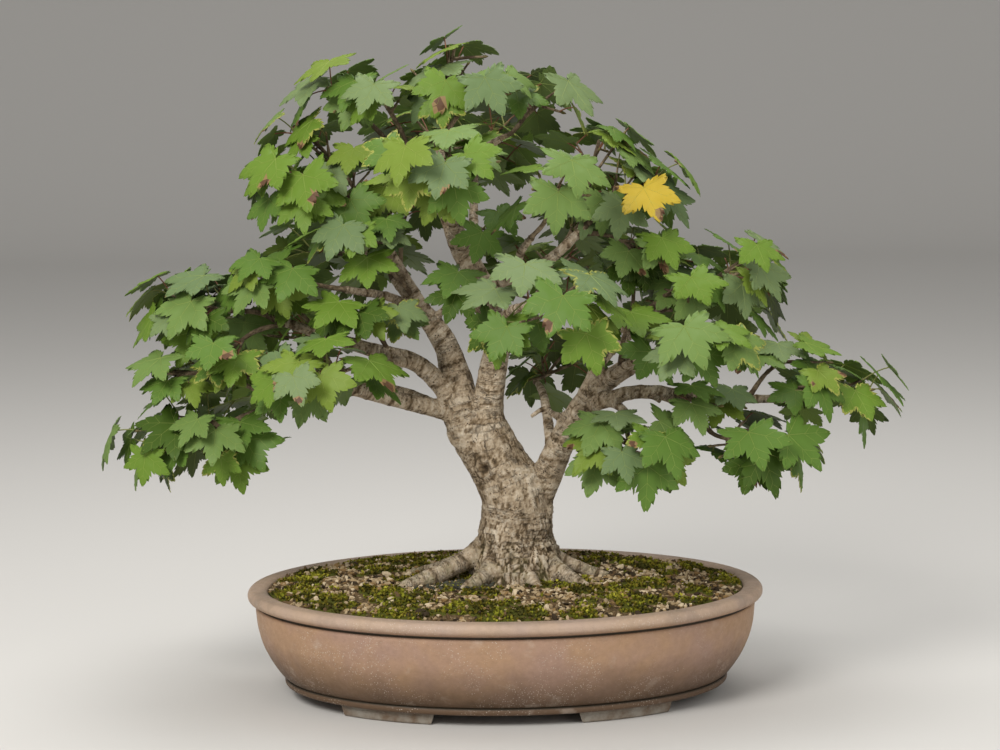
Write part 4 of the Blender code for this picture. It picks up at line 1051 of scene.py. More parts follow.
def smooth_knots(knots: list | tuple, per_span: int) -> Array:
    """Returns points on a curve through knots whose last number is the radius.

    Args:
        knots: Rows of x, y, z and radius.
        per_span: Points made for each stretch between two knots.

    Returns:
        Rows of x, y, z and radius.
    """
    rows = [np.array(knot, float) for knot in knots]
    padded = [2 * rows[0] - rows[1]] + rows + [2 * rows[-1] - rows[-2]]
    points = []
    for first, second, third, fourth in zip(padded, padded[1:], padded[2:], padded[3:]):
        for step in range(per_span):
            t = step / per_span
            points.append(0.5 * (2 * second + (third - first) * t
                                 + (2 * first - 5 * second + 4 * third - fourth) * t ** 2
                                 + (3 * second - first - 3 * third + fourth) * t ** 3))
    points.append(rows[-1])
    return np.array(points)


def point_along(path: Array, share: float) -> Array:
    """Returns the point and radius at a share of a path's length."""
    steps = np.linalg.norm(np.diff(path[:, :3], axis=0), axis=1)
    travelled = np.concatenate(([0.0], np.cumsum(steps)))
    return np.array([np.interp(share * travelled[-1], travelled, path[:, k]) for k in range(4)])


class Skeleton:
    """The lines and tapers of every limb, worked out as in the source."""

    def __init__(self, per_span: int) -> None:
        """Works out the limbs with some points for each stretch between two knots."""
        self.per_span = per_span
        self.paths = {"trunk": smooth_knots(TRUNK_KNOTS, per_span),
                      "left_stem": smooth_knots(LEFT_STEM_KNOTS, per_span)}
        for bough in BOUGHS:
            self.paths[bough.name] = self.bough_path(bough)

    def bough_path(self, bough: Bough) -> Array:
        """Returns a bough's line and taper, from its parent's middle or end to its tip."""
        parent = self.paths[bough.parent]
        start = point_along(parent, bough.along)[:3]
        stops = [start] + [np.array(bend) for bend in bough.bends] + [np.array(bough.tip)]
        carried_on = bough.along == 1.0
        if carried_on:
            run = unit(parent[-1, :3] - parent[-2, :3])
            stops[0] = start + STRAIGHT_START * run
        steps = [np.linalg.norm(after - before) for before, after in zip(stops, stops[1:])]
        lengths = np.concatenate(([0.0], np.cumsum(steps)))
        knots = []
        for stop, length in zip(stops, lengths):
            tapered = (length / lengths[-1]) ** BOUGH_TAPER
            knots.append((*stop, bough.base_radius + (bough.tip_radius - bough.base_radius) * tapered))
        path = smooth_knots(knots, self.per_span)
        return np.vstack([(*(start + GAP * run), bough.base_radius), path]) if carried_on else path

    def root_path(self, root: Root) -> Array:
        """Returns a root's line: out of the trunk's foot, bending down to run along the ground."""
        heading = math.radians(root.heading)
        foot_x, foot_y = TRUNK_KNOTS[1][:2]
        knots = []
        for share, drop, slim in ROOT_STEPS:
            turn = heading + ROOT_WANDER * share * math.sin(3.0 * root.heading)
            radius = ROOT_END_RADIUS + (ROOT_SLIMNESS * root.radius - ROOT_END_RADIUS) * slim
            height = GROUND - ROOT_END_DEPTH + (ROOT_START_HEIGHT - GROUND) * drop
            out = ROOT_STRETCH * root.reach * share
            knots.append((foot_x + out * math.cos(turn), foot_y + out * math.sin(turn), height, radius))
        return smooth_knots(knots, self.per_span)

    def snag_path(self, snag: Snag) -> Array:
        """Returns a snag's line and taper."""
        radii = np.linspace(snag.start_radius, snag.end_radius, len(snag.stops))
        return smooth_knots([(*stop, radius) for stop, radius in zip(snag.stops, radii)], self.per_span)

    def barked(self) -> list[Array]:
        """Returns every limb that the bark covers: stems, boughs, roots and snags."""
        return (list(self.paths.values()) + [self.root_path(root) for root in ROOTS]
                + [self.snag_path(snag) for snag in SNAGS])


class Limb:
    """One limb's stretches, with a frame carried along it, for measuring from any place to it."""

    def __init__(self, path: Array) -> None:
        """Prepares the stretches of a path of x, y, z and radius."""
        self.starts, self.ends = path[:-1], path[1:]
        self.runs = self.ends[:, :3] - self.starts[:, :3]
        self.lengths = np.linalg.norm(self.runs, axis=1)
        self.travelled = np.concatenate(([0.0], np.cumsum(self.lengths)[:-1]))
        side = unit(np.cross(self.runs[0], (0.31, 0.52, 0.79)))
        sides = []
        for run in unit(self.runs):
            side = unit(side - run * np.dot(side, run))
            sides.append(side)
        self.sides = np.array(sides)
        self.low = np.min(path[:, :3] - path[:, 3:], axis=0)
        self.high = np.max(path[:, :3] + path[:, 3:], axis=0)

    def measure(self, points: Array) -> tuple[Array, Array, Array, Array]:
        """Measures from points to this limb's skin.

        Args:
            points: One row for each place.

        Returns:
            The distance, the way straight out, the place in the limb's own unrolled space and the radius.
        """
        apart = points[:, None] - self.starts[None, :, :3]
        share = np.clip(np.einsum("pqk,qk->pq", apart, self.runs) / self.lengths ** 2, 0.0, 1.0)
        off = apart - self.runs * share[..., None]
        reach = np.linalg.norm(off, axis=2)
        radius = self.starts[:, 3] + (self.ends[:, 3] - self.starts[:, 3]) * share
        nearest = np.argmin(reach - radius, axis=1)
        row = np.arange(len(points))
        way = off[row, nearest] / np.maximum(reach[row, nearest], 1e-9)[:, None]
        along = self.travelled[nearest] + share[row, nearest] * self.lengths[nearest]
        side = self.sides[nearest]
        above = np.cross(unit(self.runs)[nearest], side)
        thick = radius[row, nearest]
        local = np.stack([np.einsum("pk,pk->p", way, side) * thick, np.einsum("pk,pk->p", way, above) * thick,
                          along], axis=-1)
        return reach[row, nearest] - thick, way, local, thick


@dataclass(frozen=True)
class Bark:
    """The one skin of trunk, roots, boughs and snags, with collars at the forks and the bark's relief."""

    voxel: float = 0.00178
    web: float = 0.0022
    root_web: float = 0.0026
    bury: float = 0.004
    settle_steps: int = 3
    crack_depth: float = 0.0017
    plate_lift: float = 0.0016
    fold_depth: float = 0.0008
    lump: float = 0.0024
    ring_gap: float = 0.021

    def rough_skin(self, paths: list[Array]) -> bpy.types.Object:
        """Returns one closed skin round all the limbs, made by remeshing their tubes together."""
        tubes = Surface()
        for path in paths:
            tubes.add_tube(path, 20, 0)
        piece = tubes.make("limb_tubes", [])
        remesh = piece.modifiers.new("one_skin", "REMESH")
        remesh.mode = "VOXEL"
        remesh.voxel_size = self.voxel
        depsgraph = bpy.context.evaluated_depsgraph_get()
        skin = bpy.data.meshes.new_from_object(piece.evaluated_get(depsgraph))
        bpy.data.objects.remove(piece, do_unlink=True)
        made = bpy.data.objects.new("barked_limbs", skin)
        bpy.context.scene.collection.objects.link(made)
        return made

    def merge(self, limbs: list[Limb], points: Array) -> dict[str, Array]:
        """Measures from points to the skin of all limbs, webbed together where they meet.

        Args:
            limbs: The limbs.
            points: One row for each place.

        Returns:
            The distance, the way out, the nearest limb's own space and radius, and how clear of a fork it is.
        """
        count = len(points)
        web = self.web + (self.root_web - self.web) * ease(0.20, 0.135, points[:, 2])
        total = np.zeros(count)
        way = np.zeros((count, 3))
        least, second = np.full(count, 1.0), np.full(count, 1.0)
        local, radius = np.zeros((count, 3)), np.zeros(count)
        for number, limb in enumerate(limbs):
            near = np.all((points > limb.low - 0.03) & (points < limb.high + 0.03), axis=1)
            if not near.any():
                continue
            distance, out, place, thick = limb.measure(points[near])
            weight = np.exp(-np.clip(distance / web[near], -30.0, 30.0))
            total[near] += weight
            way[near] += weight[:, None] * out
            here_least, here_second = least[near], second[near]
            closer = distance < here_least
            second[near] = np.where(closer, here_least, np.minimum(here_second, distance))
            least[near] = np.where(closer, distance, here_least)
            index = np.flatnonzero(near)[closer]
            local[index] = place[closer] + (0.0, 0.0, 0.37 * number)
            radius[index] = thick[closer]
        return {"distance": -web * np.log(np.maximum(total, 1e-12)), "way": unit(way), "local": local,
                "radius": radius, "clear": ease(0.0, 0.006, second - least)}

    def relief(self, place: Vector, local: Vector, radius: float, clear: float) -> tuple[float, float]:
        """Works out how the bark stands out at one place.

        Args:
            place: The place in the tree's frame.
            local: The place in its limb's unrolled space.
            radius: The limb's radius there.
            clear: 1 away from forks, 0 in them.

        Returns:
            The rise in metres, and the shade of the bark from 0 in a crack to 1 on a ridge: its own tone with painted
            shade in cracks, folds and forks and a painted highlight on raised plates and lumps.
        """
        age = float(ease(0.006, 0.034, radius))
        low = float(ease(0.215, 0.150, place.z))
        wobble = noise.noise_vector(local * 90.0) * 0.35
        tall = Vector((local.x * 175.0, local.y * 175.0, local.z * 205.0)) + wobble
        spans, centres = noise.voronoi(tall)
        edge = spans[1] - spans[0]
        crack = (1.0 - min(1.0, edge / 0.22)) ** 2
        lift = noise.cell(centres[0] * 7.3) * 0.5
        fine = noise.fractal(place * 430.0, 0.7, 2.0, 3)
        across = noise.fractal(Vector((local.x * 42.0, local.y * 42.0, local.z * 230.0)), 0.7, 2.1, 3)
        fold = max(0.0, 1.0 - 3.4 * abs(across)) ** 2 * (1.0 - 0.7 * low)
        rings = 0.5 + 0.5 * math.cos(2.0 * math.pi * local.z / self.ring_gap + 3.0 * noise.noise(place * 35.0))
        ring = rings ** 10 * (1.0 - age)
        lumps = noise.fractal(place * 48.0, 0.8, 2.0, 3)
        flaky = age * (0.22 + 0.78 * low)
        rise = flaky * (self.plate_lift * (0.55 * lift + 0.45 * fine) - self.crack_depth * crack)
        rise += self.fold_depth * (0.35 + 0.65 * age) * (0.5 * across - fold) + 0.0005 * ring * clear
        rise += self.lump * (0.18 + 0.82 * age) * lumps * (0.6 + 0.6 * low)
        # Painted shade and highlight: lower bark in cracks, folds and forks is darkened and raised plates and lumps
        # are lightened, over the bark's own tone.
        shade = 0.66 + flaky * (0.40 * lift - 0.95 * crack) - 0.34 * fold + 0.16 * across + 0.24 * fine
        shade += 0.10 * lumps - 0.22 * (1.0 - clear) * age - 0.34 * ring
        return rise, shade

    def scars(self, points: Array, rise: Array, shade: Array) -> None:
        """Adds the healed wounds to the rise and shade of the bark, in place, with painted shade in their hollows and
        in a thin ring round them and a painted highlight on their swollen rings.
        """
        for scar in SCARS:
            reach = np.linalg.norm(points - scar.place, axis=1) / scar.ring
            lip = np.exp(-((reach - 1.0) / 0.42) ** 2)
            pit = np.exp(-(reach / 0.55) ** 2)
            rise += scar.rise * lip - scar.hollow * pit
            eye = ease(0.0, 0.003, scar.hollow)
            # Painted highlight on the swollen ring; painted shade in the hollow and in a thin ring just outside it.
            shade += 0.16 * lip - 0.80 * pit * eye - 0.30 * eye * np.exp(-((reach - 1.55) / 0.16) ** 2)

    def build(self, skeleton: Skeleton) -> None:
        """Builds the skin, settles it on the webbed limbs and raises the bark."""
        paths = skeleton.barked()
        limbs = [Limb(path) for path in paths]
        piece = self.rough_skin(paths)
        mesh = piece.data
        points = np.empty(len(mesh.vertices) * 3, np.float32)
        mesh.vertices.foreach_get("co", points)
        points = points.reshape(-1, 3).astype(float)
        for _ in range(self.settle_steps):
            found = self.merge(limbs, points)
            points = points - found["way"] * np.clip(found["distance"], -0.002, 0.002)[:, None]
        found = self.merge(limbs, points)
        pairs = [self.relief(Vector(place), Vector(local), radius, clear) for place, local, radius, clear
                 in zip(points, found["local"], found["radius"], found["clear"])]
        rise, shade = np.array(pairs).T
        self.scars(points, rise, shade)
        points = points + found["way"] * rise[:, None]
        points[:, 2] = np.maximum(points[:, 2], GROUND - self.bury)
        mesh.vertices.foreach_set("co", points.astype(np.float32).ravel())
        mesh.update()
        mesh.shade_smooth()
        mesh.materials.clear()
        mesh.materials.append(BarkFinish().make())
        # The shade, painted shade and highlight included, is the record that the bark finish reads.
        Pot.record_relief(piece, np.clip(shade, 0.0, 1.0))
        record = mesh.attributes.new("limb_place", "FLOAT_VECTOR", "POINT")
        record.data.foreach_set("vector", found["local"].astype(np.float32).ravel())
        settle(piece, "trunk_bark", "trunk", *[bough.name for bough in BOUGHS])


# Leaves
@dataclass(frozen=True)
class Lobe:
    """One lobe of a blade: its vein's heading and length, the notches either side and their teeth."""

    heading: float
    length: float
    front_notch: tuple[float, float]
    back_notch: tuple[float, float]
    front_teeth: int
    back_teeth: int


@dataclass(frozen=True)
class BladeShape:
    """A sycamore maple leaf's outline: five pointed lobes with coarse teeth, as shares of its length."""

    middle: Lobe = Lobe(0.0, 1.0, (27.0, 0.50), (27.0, 0.50), 3, 3)
    side: Lobe = Lobe(53.0, 0.93, (27.0, 0.50), (84.0, 0.43), 3, 3)
    base: Lobe = Lobe(110.0, 0.66, (84.0, 0.43), (152.0, 0.13), 1, 3)
    shoulder: float = 0.52
    shoulder_out: float = 0.038
    tooth: float = 0.070
    tooth_lean: float = 0.80
    tooth_place: float = 0.72
    rib_slant: float = 0.95
    quilt: float = 0.026
    rib_height: float = 0.010
    tooth_drop: float = 0.003
    band: float = 0.060
    margin: float = 0.034
    thickness: float = 0.0080
    vein_width: float = 0.0170
    vein_rise: float = 0.0075
    rib_width: float = 0.0080
    plain: int = 9
    edged: int = 7
    seed: int = 23


class Kind(Enum):
    """The parts of a leaf that take a colour of their own."""

    UPPER = 0
    MARGIN = 1
    UNDER = 2
    VEIN = 3


@dataclass
class Blade:
    """One ready outline: its points, and lots of faces with the kind of each."""

    points: Array
    lots: list[tuple[Array, Array]]


class Net:
    """Flat points with heights, the rim's loop, and the lines that the faces follow."""

    def __init__(self) -> None:
        """Starts with the leaf's base alone."""
        self.places: list[Array] = [np.zeros(2)]
        self.heights: list[float] = [0.0]
        self.rim: list[int] = [0]
        self.lines: list[tuple[int, int]] = []
        self.tips: list[int] = []
        self.ribs: list[tuple[int, int, int]] = []

    def add(self, place: Array, height: float, on_rim: bool = False) -> int:
        """Adds a point and returns its number."""
        self.places.append(place)
        self.heights.append(height)
        if on_rim:
            self.rim.append(len(self.places) - 1)
        return len(self.places) - 1

    def faces(self, inner: list[int], lines: list[tuple[int, int]]) -> list[list[int]]:
        """Returns triangles that fill the rim and use some inner points, facing up."""
        chosen = self.rim + inner
        order = {point: number for number, point in enumerate(chosen)}
        rim = list(range(len(self.rim)))
        edges = [(order[a], order[b]) for a, b in lines]
        found = delaunay_2d_cdt([Vector(self.places[point]) for point in chosen], edges, [rim], 1, 1e-6)
        number_of = {}
        for made, sources in enumerate(found[3]):
            place = np.array(found[0][made])
            number_of[made] = chosen[sources[0]] if sources else self.add(place, self.rise_at(place))
        loops = []
        for loop in found[2]:
            corners = [number_of[made] for made in loop]
            area = np.cross(self.places[corners[1]] - self.places[corners[0]],
                            self.places[corners[2]] - self.places[corners[0]])
            loops.append(corners if area > 0.0 else corners[::-1])
        return loops

    def rise_at(self, place: Array) -> float:
        """Returns the height of the point nearest to a place."""
        apart = np.linalg.norm(np.array(self.places) - place, axis=1)
        return self.heights[int(np.argmin(apart))]


class BladeMaker:
    """Draws the outlines and meshes of a few blades, all a little different."""

    def __init__(self, shape: BladeShape) -> None:
        """Takes the shape that all the blades vary from."""
        self.shape = shape
        self.draw = random.Random(shape.seed)

    def vary(self, spread: float) -> float:
        """Returns a factor near 1."""
        return 1.0 + self.draw.uniform(-spread, spread)

    @staticmethod
    def polar(heading: float, reach: float) -> Array:
        """Returns a point of the blade's plane from a heading in degrees and a distance."""
        return reach * np.array((math.cos(math.radians(heading)), math.sin(math.radians(heading))))

    def edge(self, tip: Array, notch: Array, teeth: int) -> list[tuple[Array, str]]:
        """Returns one side of a lobe from its notch to its tip, with forward teeth.

        Args:
            tip: The lobe's tip.
            notch: The notch beside it.
            teeth: How many teeth the side has.

        Returns:
            Pairs of a place and what it is: notch, swell, tooth or foot.
        """
        shape = self.shape
        axis = unit(tip)
        across = unit(notch - axis * np.dot(notch, axis))
        ahead = np.linalg.norm(tip) - np.dot(notch, axis)
        room = min(1.0, np.linalg.norm(tip - notch) / 0.5)
        bend = notch + axis * shape.shoulder * ahead + across * shape.shoulder_out * room
        places, before = [(notch, "notch")], 0.0
        for number in range(teeth):
            share = (number + shape.tooth_place * self.vary(0.12)) / (teeth - 0.10)
            size = room * shape.tooth * self.vary(0.35) * (1.0 - 0.35 * number / teeth)
            for t, kind in ((0.5 * (before + share), "swell"), (share, "tooth"), (share + 0.055, "foot")):
                line = (1 - t) ** 2 * notch + 2 * t * (1 - t) * bend + t * t * tip
                run = unit((1 - t) * (bend - notch) + t * (tip - bend))
                out = np.array((-run[1], run[0]))
                out = out if np.dot(out, across) > 0.0 else -out
                if kind == "swell":
                    line = line + 0.22 * size * out
                elif kind == "tooth":
                    line = line + size * (0.66 * out + shape.tooth_lean * run)
                else:
                    line = line - 0.30 * size * out
                places.append((line, kind))
            before = share + 0.055
        return places

    def add_lobe(self, net: Net, tip: Array, notches: tuple[Array, Array], teeth: tuple[int, int], edged: bool
                 ) -> None:
        """Adds a lobe's rim, veins and quilting to a net.

        Args:
            net: The net, whose rim ends just before this lobe.
            tip: The lobe's tip.
            notches: The notches before and after it round the rim.
            teeth: The teeth on the side before and after its tip.
            edged: Whether a band of points runs along inside the rim.
        """
        shape = self.shape
        axis, length = unit(tip), np.linalg.norm(tip)
        sides = [self.edge(tip, notches[0], teeth[0]), self.edge(tip, notches[1], teeth[1])]
        heights = {"notch": 0.004, "swell": 0.002, "tooth": -shape.tooth_drop, "foot": 0.002}
        on_vein = []
        for order, side in enumerate(sides):
            numbers = []
            chosen = side if order == 0 else side[:0:-1]
            if order == 1:
                tip_number = net.add(tip, -shape.tooth_drop, True)
                net.tips.append(tip_number)
            for place, kind in chosen:
                numbers.append(net.add(place, heights[kind], True))
            before = 0.5 * side[0][0]
            rooted = np.zeros(2)
            for (place, kind), number in zip(chosen, numbers):
                if edged and kind in ("swell", "foot"):
                    foot = axis * np.dot(place, axis)
                    net.add(place + (foot - place) * shape.band / np.linalg.norm(foot - place), 0.006)
                if kind == "tooth":
                    ahead = np.dot(place, axis)
                    off = np.linalg.norm(place - axis * ahead)
                    root = float(np.clip(ahead - shape.rib_slant * off, 0.16 * length, 0.90 * length))
                    root_number = net.add(axis * root, 0.0)
                    middle = net.add(0.52 * place + 0.48 * axis * root + 0.012 * axis, shape.rib_height)
                    net.lines += [(root_number, middle), (middle, number)]
                    net.ribs.append((root_number, middle, number))
                    on_vein.append((root, root_number))
            teeth_here = [place for place, kind in side if kind == "tooth"]
            for place in teeth_here:
                ahead = np.dot(place, axis)
                off = np.linalg.norm(place - axis * ahead)
                root = axis * float(np.clip(ahead - shape.rib_slant * off, 0.16 * length, 0.90 * length))
                net.add(0.25 * (before * 2.0 + place * 0.9 + root * 1.1), shape.quilt)
                before = 0.5 * (place + root)
            net.add(0.5 * before + 0.25 * tip + 0.25 * before, 0.7 * shape.quilt)
        path = [0] + [number for _, number in sorted(on_vein)] + [tip_number]
        net.lines += [pair for pair in zip(path, path[1:]) if pair[0] != pair[1]]

    def blade(self, edged: bool) -> Blade:
        """Returns one blade with an upper and an under side, and raised veins."""
        shape = self.shape
        notches = {}
        for notch in (shape.middle.front_notch, shape.side.back_notch, shape.base.back_notch):
            for side in (-1.0, 1.0):
                notches[(notch, side)] = self.polar(side * notch[0], notch[1] * self.vary(0.09))
        net = Net()
        lobes = ((shape.base, -1.0), (shape.side, -1.0), (shape.middle, 1.0), (shape.side, 1.0), (shape.base, 1.0))
        for lobe, mirror in lobes:
            heading = lobe.heading + (self.draw.uniform(-5.0, 5.0) if lobe.heading else 0.0)
            tip = self.polar(mirror * heading, lobe.length * self.vary(0.08))
            around = [notches[(lobe.front_notch, mirror)], notches[(lobe.back_notch, mirror)]]
            teeth = [lobe.front_teeth, lobe.back_teeth]
            if lobe.heading == 0.0:
                around = [notches[(lobe.front_notch, -1.0)], notches[(lobe.front_notch, 1.0)]]
            elif mirror < 0.0:
                around, teeth = around[::-1], teeth[::-1]
            self.add_lobe(net, tip, tuple(around), tuple(teeth), edged)
        net.add(notches[(shape.base.back_notch, 1.0)], 0.0, True)
        for (notch, side), place in notches.items():
            net.add(0.55 * place, 0.8 * shape.quilt)
        return self.make_mesh(net)

    def make_mesh(self, net: Net) -> Blade:
        """Fills a net's two sides and adds the raised veins.

        Args:
            net: The blade's points and lines.

        Returns:
            The blade.
        """
        shape = self.shape
        on_rim = set(net.rim)
        inner = [point for point in range(len(net.places)) if point not in on_rim]
        upper = net.faces(inner, net.lines)
        rim = np.array([net.places[point] for point in net.rim])
        middles = np.array([np.mean([net.places[point] for point in loop], axis=0) for loop in upper])
        kinds = np.where(self.rim_distance(middles, rim) < shape.margin, Kind.MARGIN.value, Kind.UPPER.value)
        spine, lines = [], []
        for tip in net.tips:
            near, far = [net.add(net.places[tip] * share, 0.0) for share in (0.35, 0.70)]
            spine += [near, far]
            lines += [(0, near), (near, far), (far, tip)]
        lower = np.array([loop[::-1] for loop in net.faces(spine, lines)])
        points = np.column_stack([np.array(net.places), net.heights])
        count, loop = len(points), np.array(net.rim)
        after = np.roll(loop, -1)
        wall = np.stack([loop + count, after + count, after, loop], axis=-1)
        veins, vein_faces = self.veins(net)
        everything = np.vstack([points, points - (0.0, 0.0, shape.thickness), veins])
        lots = [(np.array(upper), kinds), (lower + count, np.full(len(lower), Kind.UNDER.value)),
                (wall, np.full(len(wall), Kind.MARGIN.value)),
                (vein_faces + 2 * count, np.full(len(vein_faces), Kind.VEIN.value))]
        used, places = np.unique(np.concatenate([faces.ravel() for faces, _ in lots]), return_inverse=True)
        starts = np.cumsum([0] + [faces.size for faces, _ in lots])
        lots = [(places[first:first + faces.size].reshape(faces.shape), chosen)
                for first, (faces, chosen) in zip(starts, lots)]
        return Blade(everything[used], lots)

    @staticmethod
    def rim_distance(places: Array, rim: Array) -> Array:
        """Returns how far places are from a closed line."""
        run = np.roll(rim, -1, axis=0) - rim
        apart = places[:, None] - rim[None]
        share = np.clip(np.sum(apart * run, axis=2) / np.sum(run * run, axis=1), 0.0, 1.0)
        return np.min(np.linalg.norm(apart - run * share[..., None], axis=2), axis=1)

    def veins(self, net: Net) -> tuple[Array, Array]:
        """Returns the points and faces of the ridges along the main veins and of the thin side veins."""
        shape = self.shape
        points, faces = [], []
        for tip in (net.places[number] for number in net.tips):
            side = unit(np.array((-tip[1], tip[0])))
            for over, level in ((1.0, 0.0), (-1.0, -shape.thickness)):
                base = len(points)
                for share in (-0.02, 0.3, 0.62, 0.95):
                    width = 0.5 * shape.vein_width * (1.0 - 0.70 * share)
                    rise = level + over * shape.vein_rise * (1.0 - 0.6 * share)
                    middle = tip * share
                    points += [(*(middle + side * width), level - 0.0015 * over), (*middle, rise),
                               (*(middle - side * width), level - 0.0015 * over)]
                self.add_strips(faces, base, 4, 3, over > 0)
        for rib in net.ribs:
            ends = [net.places[number] for number in rib]
            side = 0.5 * shape.rib_width * unit(np.array((ends[0][1] - ends[2][1], ends[2][0] - ends[0][0])))
            base = len(points)
            for place, number, share in zip(ends, rib, (1.0, 0.8, 0.4)):
                height = net.heights[number] + 0.0026
                points += [(*(place + side * share), height), (*(place - side * share), height)]
            self.add_strips(faces, base, 3, 2, True)
        return np.array(points), np.array(faces)

    @staticmethod
    def add_strips(faces: list, base: int, rows: int, columns: int, upward: bool) -> None:
        """Adds the faces of a small grid of points, facing up or down."""
        for row in range(rows - 1):
            for column in range(columns - 1):
                corner = base + columns * row + column
                face = (corner, corner + 1, corner + columns + 1, corner + columns)
                faces.append(face[::-1] if upward else face)

    def all(self, edged: bool) -> list[Blade]:
        """Returns the blades of one sort."""
        return [self.blade(edged) for _ in range(self.shape.edged if edged else self.shape.plain)]


@dataclass
class Leaf:
    """One leaf on the tree: where its stalk leaves the twig, where its blade begins, and how it lies."""

    joint: Array
    base: Array
    along: Array
    face: Array
    length: float
    exposure: float
    samples: Array = field(default_factory=lambda: np.zeros((0, 3)))


@dataclass(frozen=True)
class LeafRule:
    """How leaves are sized and placed: the source's rule, with its ranges."""

    length: float = 0.054
    corners: tuple = ((150, 0.060), (112, 0.60), (54, 0.92), (27, 0.56), (0, 1.0))
    middle: float = 0.015
    petiole: float = 0.046
    joint_offset: float = 0.0007
    fold_least: float = 0.17
    sample_rings: tuple = (1.0, 0.78, 0.52, 0.25)
    stalk_samples: tuple = (0.3, 0.55, 0.75)
    crown_axis: tuple = (-0.02, 0.0)
    spoke_squeeze: float = 0.35
    face_squeeze: float = 0.45
    face_out: float = 0.50
    face_spoke: float = 0.55
    face_up: float = 0.58
    face_jitter: float = 0.30
    hang_along: float = 0.75
    hang_spoke: float = 0.25
    hang_down: float = 0.62
    side_spread: tuple = (0.70, 1.25)
    side_turn: float = 0.35
    side_lift: float = 0.12
    side_reach: tuple = (0.55, 1.0)
    side_size: tuple = (0.78, 1.0)
    side_shortening: float = 0.45
    end_reach: tuple = (0.30, 0.70)
    end_size: tuple = (0.85, 1.0)
    end_shortening: float = 0.70
    least_size: float = 0.72
    tries: int = 14
    apart: float = 0.0062
    filler_apart: float = 0.0034
    near: float = 0.135
    limb_apart: float = 0.0022
    space_apart: float = 0.0008
    flatness: float = 0.72
    limb_search: float = 0.04
    stem_bend: float = 0.35
    stem_past: float = 0.12
    stem_taper: tuple = (0.95, 0.85)
    stem_tip: float = 0.0036
    shoot_zone: tuple = (0.45, 0.97)
    shoot_reach: tuple = (0.34, 0.50)
    filler_reach: tuple = (0.20, 0.66)
    filler_size: float = 0.80
    spray_reach: tuple = (0.15, 0.62)
    spray_size: float = 0.90
    spray_radius: tuple = (0.0030, 0.0017)
    shoot_least: float = 0.012
    shoot_samples: int = 8
    aim_highest: float = 0.95
    aim_lowest: float = -0.50
    side_leaves: int = 4
    pair_from_tip: float = 0.0025
    pair_spacing: float = 0.36
    seed: int = 41


RULE = LeafRule()


class Space:
    """The room that growth keeps to: an oval, and its own side of the wall to each other mass."""

    def __init__(self, centre: tuple, half: tuple, walls: list[tuple[Array, float]], paths: list[Array]) -> None:
        """Takes the oval and the walls, and picks out the limbs that pass near."""
        self.centre = np.array(centre)
        self.half = np.array(half)
        self.walls = walls
        rows = [(start, end) for path in paths for start, end in zip(path, path[1:])]
        near = [row for row in rows if self.is_near(row)]
        self.limb_starts = np.array([start for start, _ in near])
        self.limb_ends = np.array([end for _, end in near])

    @staticmethod
    def wall(mass: Mass, other: Mass) -> tuple[Array, float]:
        """Returns the flat wall between two masses: its unit normal, and the offset that is inside."""
        stretch = np.array((1.0, 1.0, 1.0 / RULE.flatness)) ** 2
        mine, theirs = np.array(mass.centre), np.array(other.centre)
        normal = 2.0 * stretch * (theirs - mine)
        reach_mine = (mass.half[0] + mass.half[1]) / 2.0
        reach_theirs = (other.half[0] + other.half[1]) / 2.0
        offset = np.sum(stretch * (theirs ** 2 - mine ** 2)) + reach_mine ** 2 - reach_theirs ** 2
        size = np.linalg.norm(normal)
        return normal / size, offset / size

    def is_near(self, row: tuple[Array, Array]) -> bool:
        """Returns whether a piece of limb, as its start and end, is in this space or just outside it."""
        middle = (row[0][:3] + row[1][:3]) / 2.0
        return np.linalg.norm((middle - self.centre) / (self.half + RULE.limb_search)) < 1.3

    def holds(self, points: Array) -> bool:
        """Returns whether every point is in the oval and on this mass's side of each wall."""
        if np.max(np.sum(((points - self.centre) / self.half) ** 2, axis=1)) > 1.0:
            return False
        return all(np.max(points @ normal) < offset - RULE.space_apart for normal, offset in self.walls)

    def clears_limbs(self, points: Array) -> bool:
        """Returns whether every point is clear of each limb near this space."""
        if not len(self.limb_starts):
            return True
        start, end = self.limb_starts[None, :, :3], self.limb_ends[None, :, :3]
        run = end - start
        share = np.sum((points[:, None] - start) * run, axis=2) / np.sum(run * run, axis=2)
        share = np.clip(share, 0.0, 1.0)[..., None]
        distance = np.linalg.norm(points[:, None] - (start + run * share), axis=2)
        radius = np.maximum(self.limb_starts[:, 3], self.limb_ends[:, 3])[None]
        return bool(np.all(distance > radius + RULE.limb_apart))


@dataclass(frozen=True)
class Vigour:
    """How one kind of growth goes: its shoots' reach, its leaves' size and how far apart they keep."""

    reach: tuple[float, float]
    size: float
    apart: float
    minds_all: bool


class Taken:
    """Every leaf placed so far."""

    def __init__(self) -> None:
        """Starts with none."""
        self.leaves: list[Leaf] = []
        self.bases = np.zeros((3000, 3))

    def add(self, leaf: Leaf) -> None:
        """Adds a leaf."""
        self.bases[len(self.leaves)] = leaf.base
        self.leaves.append(leaf)

    def near(self, place: Array) -> list[Leaf]:
        """Returns the leaves near a place."""
        apart = np.linalg.norm(self.bases[:len(self.leaves)] - place, axis=1)
        return [self.leaves[k] for k in np.flatnonzero(apart < RULE.near)]


